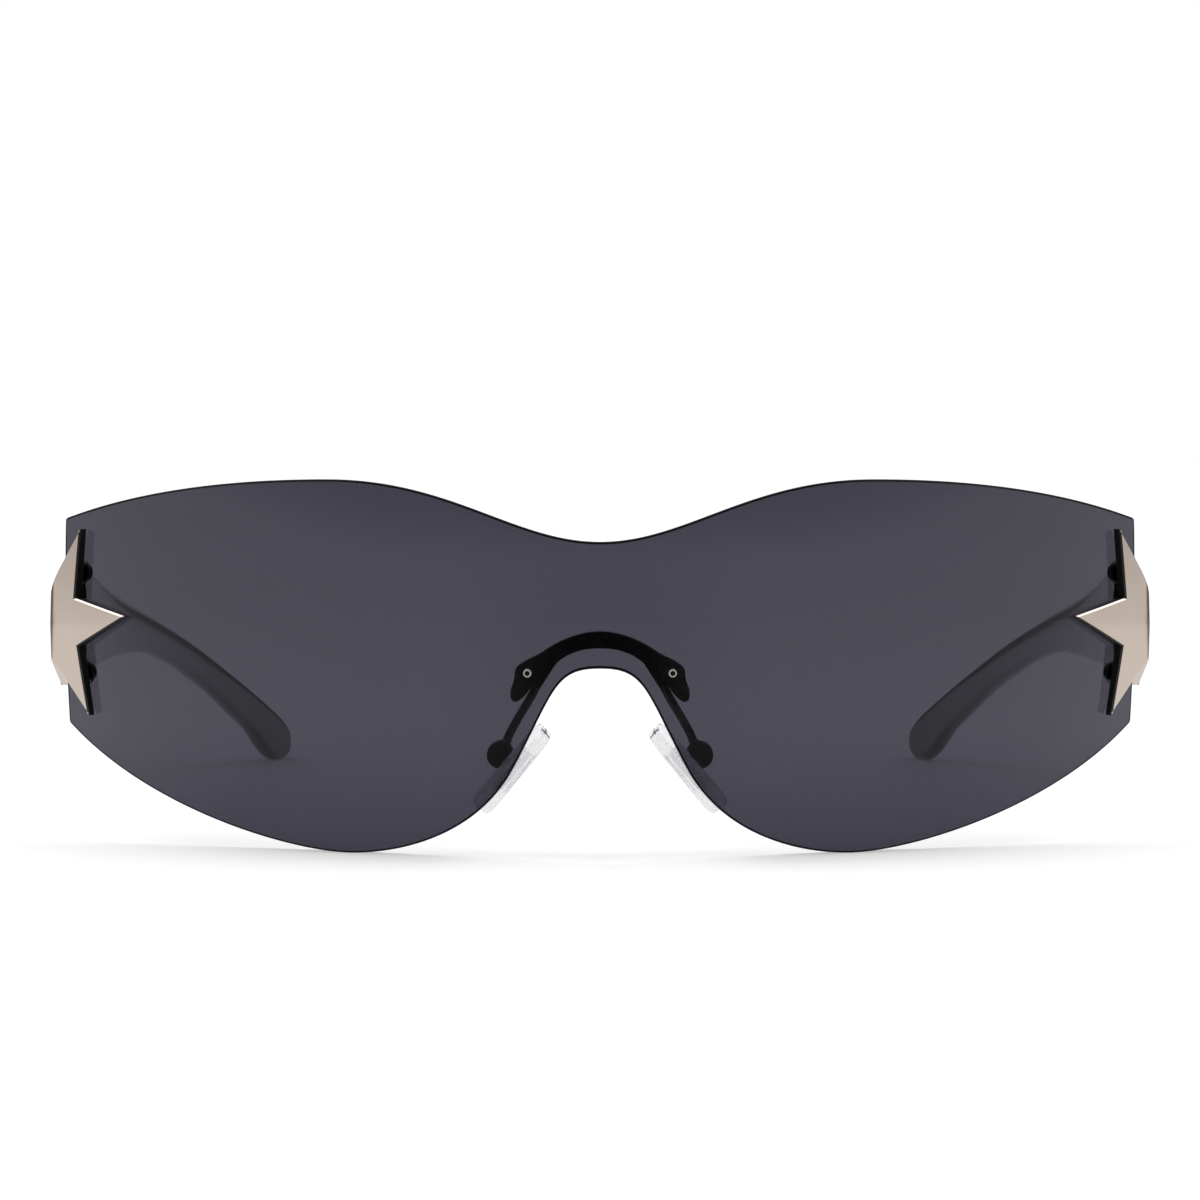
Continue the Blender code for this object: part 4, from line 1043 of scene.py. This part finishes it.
def bend_star(along, up, out):
    """Lays the flat star round the corner. Along runs to the nose, and out from the star's inner face."""
    height = STAR_HEIGHT + up
    radius = LENS_BEND_RADIUS - crown_drop(height) + CLEARANCE
    centre = bend_centre(height)
    corner_across = STAR_SIDE - STAR_CORNER_RADIUS
    start = math.asin(corner_across / (radius - STAR_CORNER_RADIUS))
    corner_depth = centre - (radius - STAR_CORNER_RADIUS) * math.cos(start)
    past = -STAR_CORNER_AHEAD - along
    outer = STAR_CORNER_RADIUS + STAR_THICKNESS
    corner_length = outer * (math.pi / 2 - start)
    if past < 0:
        angle = start + past / (radius + STAR_THICKNESS)
        return ((radius + out) * math.sin(angle), centre - (radius + out) * math.cos(angle), height)
    if past < corner_length:
        angle = start + past / outer
        turned = STAR_CORNER_RADIUS + out
        return (corner_across + turned * math.sin(angle), corner_depth - turned * math.cos(angle), height)
    return (STAR_SIDE + out, corner_depth + past - corner_length, height)


def star_blank():
    """The flat star, its tips rounded and its face chamfered, with the black as its second finish."""
    corners = []
    for tip, share, valley in zip(STAR_TIP_ANGLES, STAR_TIP_SHARES, STAR_VALLEY_ANGLES):
        corners += [(share * STAR_TIP_RADIUS, tip), (STAR_VALLEY_RADIUS, valley)]
    bpy.ops.mesh.primitive_circle_add(vertices=len(corners), radius=STAR_TIP_RADIUS, fill_type="NGON")
    star = bpy.context.object
    for vert, (radius, degrees) in zip(star.data.vertices, corners):
        angle = math.radians(degrees)
        vert.co = (radius * math.cos(angle), radius * math.sin(angle), 0)
    edit(star)
    bpy.ops.mesh.select_mode(type="VERT")
    object_mode()
    for vert in star.data.vertices:
        vert.select = vert.co.length > STAR_VALLEY_RADIUS * 2
    bpy.ops.object.mode_set(mode="EDIT")
    bpy.ops.mesh.bevel(offset=STAR_TIP_ROUNDING, segments=3, affect="VERTICES")
    bpy.ops.mesh.select_all(action="SELECT")
    bpy.ops.mesh.extrude_region_move(TRANSFORM_OT_translate={"value": (0, 0, STAR_THICKNESS)})
    face_outwards(star)
    choose_faces(star, faces_up)
    bpy.ops.mesh.bevel(offset=STAR_CHAMFER, segments=1, affect="EDGES")
    object_mode()
    star.data.materials.append(champagne_finish())
    star.data.materials.append(BLACK_FINISH)
    for face in star.data.polygons:
        chamfer = not faces_up(face) and face.normal.x > STAR_BLACK_SLOPE
        black_side = face.normal.z < STAR_BLACK_RISE or chamfer
        face.material_index = 1 if black_side and face.center.x > STAR_BLACK_END else 0
    return star


def knuckle(middle, height, *roots):
    """A barrel of the hinge, welded to its roots and drilled."""
    barrel = drum(KNUCKLE_RADIUS, height, HINGE_ROUNDING, KNUCKLE_SIDES, faces_endways)
    put(barrel, Matrix.Translation((HINGE_AXIS.x, HINGE_AXIS.y, middle)))
    for root in roots:
        combine(barrel, root, "UNION")
    drill(barrel, Matrix.Translation(HINGE_AXIS), HINGE_SCREW_RADIUS + CLEARANCE, LENS_HEIGHT)
    return barrel


def make_star():
    star = star_blank()
    slice_mesh(star, STAR_STRIP, STAR_TIP_RADIUS, (1, 0, 0))
    slice_mesh(star, STAR_STRIP, STAR_TIP_RADIUS, (0, 1, 0))
    for vert in star.data.vertices:
        along, up, out = vert.co
        thinned = STAR_INWARD_THINNING_SHARE * max(0, along) + STAR_UPRIGHT_THINNING_SHARE * abs(up)
        lowered = thinned * STAR_THICKNESS / STAR_TIP_RADIUS if out > 0 else 0
        vert.co = bend_star(along, up, out - lowered)
    star.data.flip_normals()
    inner = []
    for middle in (HINGE_HEIGHT + KNUCKLE_RISE, HINGE_HEIGHT - KNUCKLE_RISE):
        half = STAR_KNUCKLE_HEIGHT / 2
        low = (HINGE_AXIS.x, HINGE_AXIS.y - KNUCKLE_RADIUS, middle - half)
        high = (STAR_SIDE + STAR_THICKNESS / 2, HINGE_AXIS.y + KNUCKLE_RADIUS, middle + half)
        barrel = knuckle(middle, STAR_KNUCKLE_HEIGHT, block(low, high, Matrix()))
        inner.append(done(barrel, "star_knuckle", BLACK_FINISH))
    pick(*inner, star)
    bpy.ops.object.join()
    fit_pair(star, "star", None, "front")


make_star()


# The star's screws and washers. Black pan-headed screws with a crossed recess are put in from behind the
# lens, each over a washer of natural nylon that keeps the metal off the lens.
STAR_SCREW_HEAD_RADIUS = 0.0011
STAR_SCREW_HEAD = 0.0008
STAR_SCREW_DEPTH = 0.0009
STAR_SCREW_SLOT = (0.0013, 0.0003, 0.0004)
WASHER_THICKNESS = 0.0003
NYLON = (0.80, 0.80, 0.81)
NYLON_DARK = (0.72, 0.72, 0.729)
# Natural nylon, cloudy and half clear
NYLON_FINISH = worn_finish(
    "natural_nylon",
    colours=(NYLON_DARK, NYLON),
    values={"IOR": 1.2, "Transmission Weight": 0.85},
    noise=(2500.0, 3.0),
    roughness=(0.25, 0.45),
    relief=(0.3, 0.00001),
)


def make_star_fasteners(level, rise, inset):
    """The screws at this level. The washers under them are the model's own, in their finish."""
    place = on_lens(STAR_SIDE - inset, STAR_HEIGHT + rise)
    seat = LENS_THICKNESS + WASHER_THICKNESS + 2 * SNUG
    shank = STAR_SCREW_DEPTH + seat
    screw = screw_blank(STAR_SCREW_HEAD_RADIUS, STAR_SCREW_HEAD, STAR_SCREW_RADIUS, shank)
    for turn in (0, math.pi / 2):
        cut_slot(screw, STAR_SCREW_HEAD, STAR_SCREW_SLOT, turn)
    screw.matrix_world = place @ Matrix.Translation((0, 0, -seat)) @ Matrix.Rotation(math.pi, 4, "X")
    fit_pair(screw, f"star_screw_{level}", BLACK_FINISH, "front")
    for side in ("right", "left"):
        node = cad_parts[f"{side}_star_washer_{level}"]
        node.data.materials.clear()
        node.data.materials.append(NYLON_FINISH)


for level, (rise, inset) in STAR_SCREW_SEATS.items():
    make_star_fasteners(level, rise, inset)


# The temples. Injection-moulded in glossy near-black plastic: deep at the hinge, bowed in towards the head,
# and dropping to a slim rounded tip.
OVERALL_DEPTH = 0.158
TEMPLE_THICKNESS = 0.0026
TEMPLE_SIDE = STAR_SIDE - CLEARANCE - TEMPLE_THICKNESS / 2
TEMPLE_START = HINGE_AXIS.y + 0.0023
TEMPLE_STRAIGHT = 0.0107
TEMPLE_BOW_RADIUS = 0.376
TEMPLE_TIP_ROUNDING = 0.0022
TEMPLE_END_WIDTH_SHARE = 0.45
TEMPLE_ROUNDING = 0.0012
TEMPLE_HEIGHT = 0.0376
TEMPLE_STATIONS = 120
TEMPLE_CORNER_STEPS = 7
# Above 1, so that the sections stand closer together towards the tip
TEMPLE_STATION_POWER = 1.6
TEMPLE_TOP_SHARES = (
    (0, 0.997),
    (0.123, 0.902), (0.247, 0.838), (0.369, 0.768),
    (0.477, 0.705), (0.585, 0.632), (0.693, 0.524),
    (0.774, 0.442), (0.854, 0.353), (0.935, 0.241),
    (0.972, 0.191), (1, 0.135), (1, 0.090),
)
TEMPLE_BOTTOM_SHARES = (
    (0, 0.583),
    (0.123, 0.585), (0.247, 0.602), (0.369, 0.590),
    (0.477, 0.579), (0.585, 0.490), (0.693, 0.380),
    (0.747, 0.324), (0.800, 0.245), (0.854, 0.172),
    (0.892, 0.120), (0.925, 0), (0.962, 0),
    (0.966, 0), (0.972, 0), (0.976, 0),
    (0.992, 0), (1, 0.030), (1, 0.062),
)
LEAF_THICKNESS = 0.0008
LEAF_LENGTH = 0.0085
LEAF_HEIGHT = 0.0056
LEAF_PIN_RADIUS = 0.0006
LEAF_PIN_SHARE = 0.67
TEMPLE_BLACK = (0.030, 0.031, 0.052)
TEMPLE_WORN = (0.038, 0.039, 0.062)
# Glossy moulded plastic, with the mould's faint waviness and fine rubbing
TEMPLE_FINISH = worn_finish(
    "temple_plastic",
    colours=(TEMPLE_BLACK, TEMPLE_WORN),
    values={"IOR": 1.55, "Coat Weight": 1.0, "Coat Roughness": 0.04},
    noise=(240.0, 4.0),
    roughness=(0.12, 0.24),
    relief=(0.15, 0.00002),
    relief_noise=(700.0, 1.0),
)


def past_straight(depth):
    """How far this depth lies behind the start of the bow."""
    return max(0, depth - TEMPLE_START - TEMPLE_STRAIGHT)


def temple_across(depth):
    """Middle of the blade's thickness: straight, then bowing in on a wide arc."""
    return TEMPLE_SIDE - TEMPLE_BOW_RADIUS + math.sqrt(TEMPLE_BOW_RADIUS**2 - past_straight(depth) ** 2)


def temple_length():
    """Short of the overall depth by what the turned tip's thickness adds."""
    back = FRONT + OVERALL_DEPTH
    return back - TEMPLE_START - TEMPLE_THICKNESS / 2 * past_straight(back) / TEMPLE_BOW_RADIUS


def rounded_section(half_width, half_height):
    """Points round a rectangle with round corners."""
    radius = min(TEMPLE_ROUNDING, half_height, half_width)
    points = []
    for quarter in range(4):
        for step in range(TEMPLE_CORNER_STEPS + 1):
            angle = math.pi / 2 * (quarter + step / TEMPLE_CORNER_STEPS)
            side = math.copysign(half_width - radius, 1 if quarter in (0, 3) else -1)
            level = math.copysign(half_height - radius, 1 if quarter in (0, 1) else -1)
            points.append((side + radius * math.cos(angle), level + radius * math.sin(angle)))
    return points


def temple_ring(top, bottom, share):
    """The points round the blade at this share of its length, and their middle."""
    high, low = point_along(top, share), point_along(bottom, share)
    middle = (high + low) / 2
    depth = TEMPLE_START + middle.x
    turn = Matrix.Rotation(math.asin(past_straight(depth) / TEMPLE_BOW_RADIUS), 3, "Z")
    centre = Vector((temple_across(depth), depth, middle.y))
    upright = (high - low).normalized()
    into_end = max(0, 1 - (1 - share) * temple_length() / TEMPLE_TIP_ROUNDING)
    width_share = math.sqrt(1 - into_end**2 * (1 - TEMPLE_END_WIDTH_SHARE**2))
    section = rounded_section(TEMPLE_THICKNESS / 2 * width_share, (high - low).length / 2)
    ring = [centre + turn @ Vector((side, upright.x * level, upright.y * level)) for side, level in section]
    return ring, centre


def leaf_block(front, length, height, room=0):
    """A block as thick as the hinge's leaf, this far into the blade, with this much room round it."""
    thick, tall = LEAF_THICKNESS / 2 + room, height / 2 + room
    low = (TEMPLE_SIDE - thick, front, HINGE_HEIGHT - tall)
    return block(low, (TEMPLE_SIDE + thick, TEMPLE_START + length + room, HINGE_HEIGHT + tall), Matrix())


def pin_place():
    """A frame on the leaf's pin, with its Z axis across the blade."""
    depth = TEMPLE_START + LEAF_LENGTH * LEAF_PIN_SHARE
    middle = Matrix.Translation((TEMPLE_SIDE, depth, HINGE_HEIGHT))
    return middle @ Matrix.Rotation(math.pi / 2, 4, "Y")


def make_temple():
    edges = (TEMPLE_TOP_SHARES, TEMPLE_BOTTOM_SHARES)
    top, bottom = [bezier_chain(shares, temple_length(), TEMPLE_HEIGHT) for shares in edges]
    sides = 4 * (TEMPLE_CORNER_STEPS + 1)
    bpy.ops.mesh.primitive_uv_sphere_add(segments=sides, ring_count=TEMPLE_STATIONS + 2)
    temple = bpy.context.object
    rings = []
    for station in range(TEMPLE_STATIONS + 1):
        left = 1 - station / TEMPLE_STATIONS
        rings.append(temple_ring(top, bottom, 1 - left**TEMPLE_STATION_POWER))
    for vert in temple.data.vertices:
        station = round(math.acos(max(-1, min(1, vert.co.z))) / math.pi * (TEMPLE_STATIONS + 2)) - 1
        ring, centre = rings[max(0, min(TEMPLE_STATIONS, station))]
        turn = round(math.atan2(vert.co.y, vert.co.x) / (2 * math.pi) * sides) % sides
        vert.co = ring[turn] if 0 <= station <= TEMPLE_STATIONS else centre
    face_outwards(temple)
    combine(temple, leaf_block(TEMPLE_START - CUT_OVERRUN, LEAF_LENGTH, LEAF_HEIGHT, CLEARANCE))
    drill(temple, pin_place(), LEAF_PIN_RADIUS + SNUG, TEMPLE_THICKNESS)
    fit_pair(temple, "temple", TEMPLE_FINISH, "right_temple")


make_temple()


# The hinges. A pressed steel leaf with one knuckle is sunk into the front of each temple and held by a pin,
# and a slotted steel screw joins it to the star's two knuckles.
HINGE_SCREW_HEAD_RADIUS = 0.0011
HINGE_SCREW_HEAD = 0.0006
HINGE_SCREW_SLOT = (0.00264, 0.0003, 0.0003)


def make_hinge_leaf():
    neck = leaf_block(HINGE_AXIS.y, LEAF_LENGTH / 2, LEAF_KNUCKLE_HEIGHT)
    tongue = leaf_block(TEMPLE_START, LEAF_LENGTH, LEAF_HEIGHT)
    leaf = knuckle(HINGE_HEIGHT, LEAF_KNUCKLE_HEIGHT, neck, tongue)
    drill(leaf, pin_place(), LEAF_PIN_RADIUS + SNUG, TEMPLE_THICKNESS)
    fit_pair(leaf, "hinge_leaf", NICKEL_FINISH, "right_temple")


def make_hinge_screw():
    upper = KNUCKLE_RISE + STAR_KNUCKLE_HEIGHT / 2
    shank = 2 * upper + SNUG
    screw = screw_blank(HINGE_SCREW_HEAD_RADIUS, HINGE_SCREW_HEAD, HINGE_SCREW_RADIUS, shank)
    cut_slot(screw, HINGE_SCREW_HEAD, HINGE_SCREW_SLOT)
    screw.matrix_world = Matrix.Translation(HINGE_AXIS + Vector((0, 0, upper + SNUG)))
    fit_pair(screw, "hinge_screw", STEEL_FINISH, "front")


def make_leaf_pin():
    pin = drum(LEAF_PIN_RADIUS, TEMPLE_THICKNESS, HINGE_ROUNDING, ROUND_SIDES, faces_endways)
    pin.matrix_world = pin_place()
    fit_pair(pin, "leaf_pin", STEEL_FINISH, "right_temple")


make_hinge_leaf()
make_hinge_screw()
make_leaf_pin()
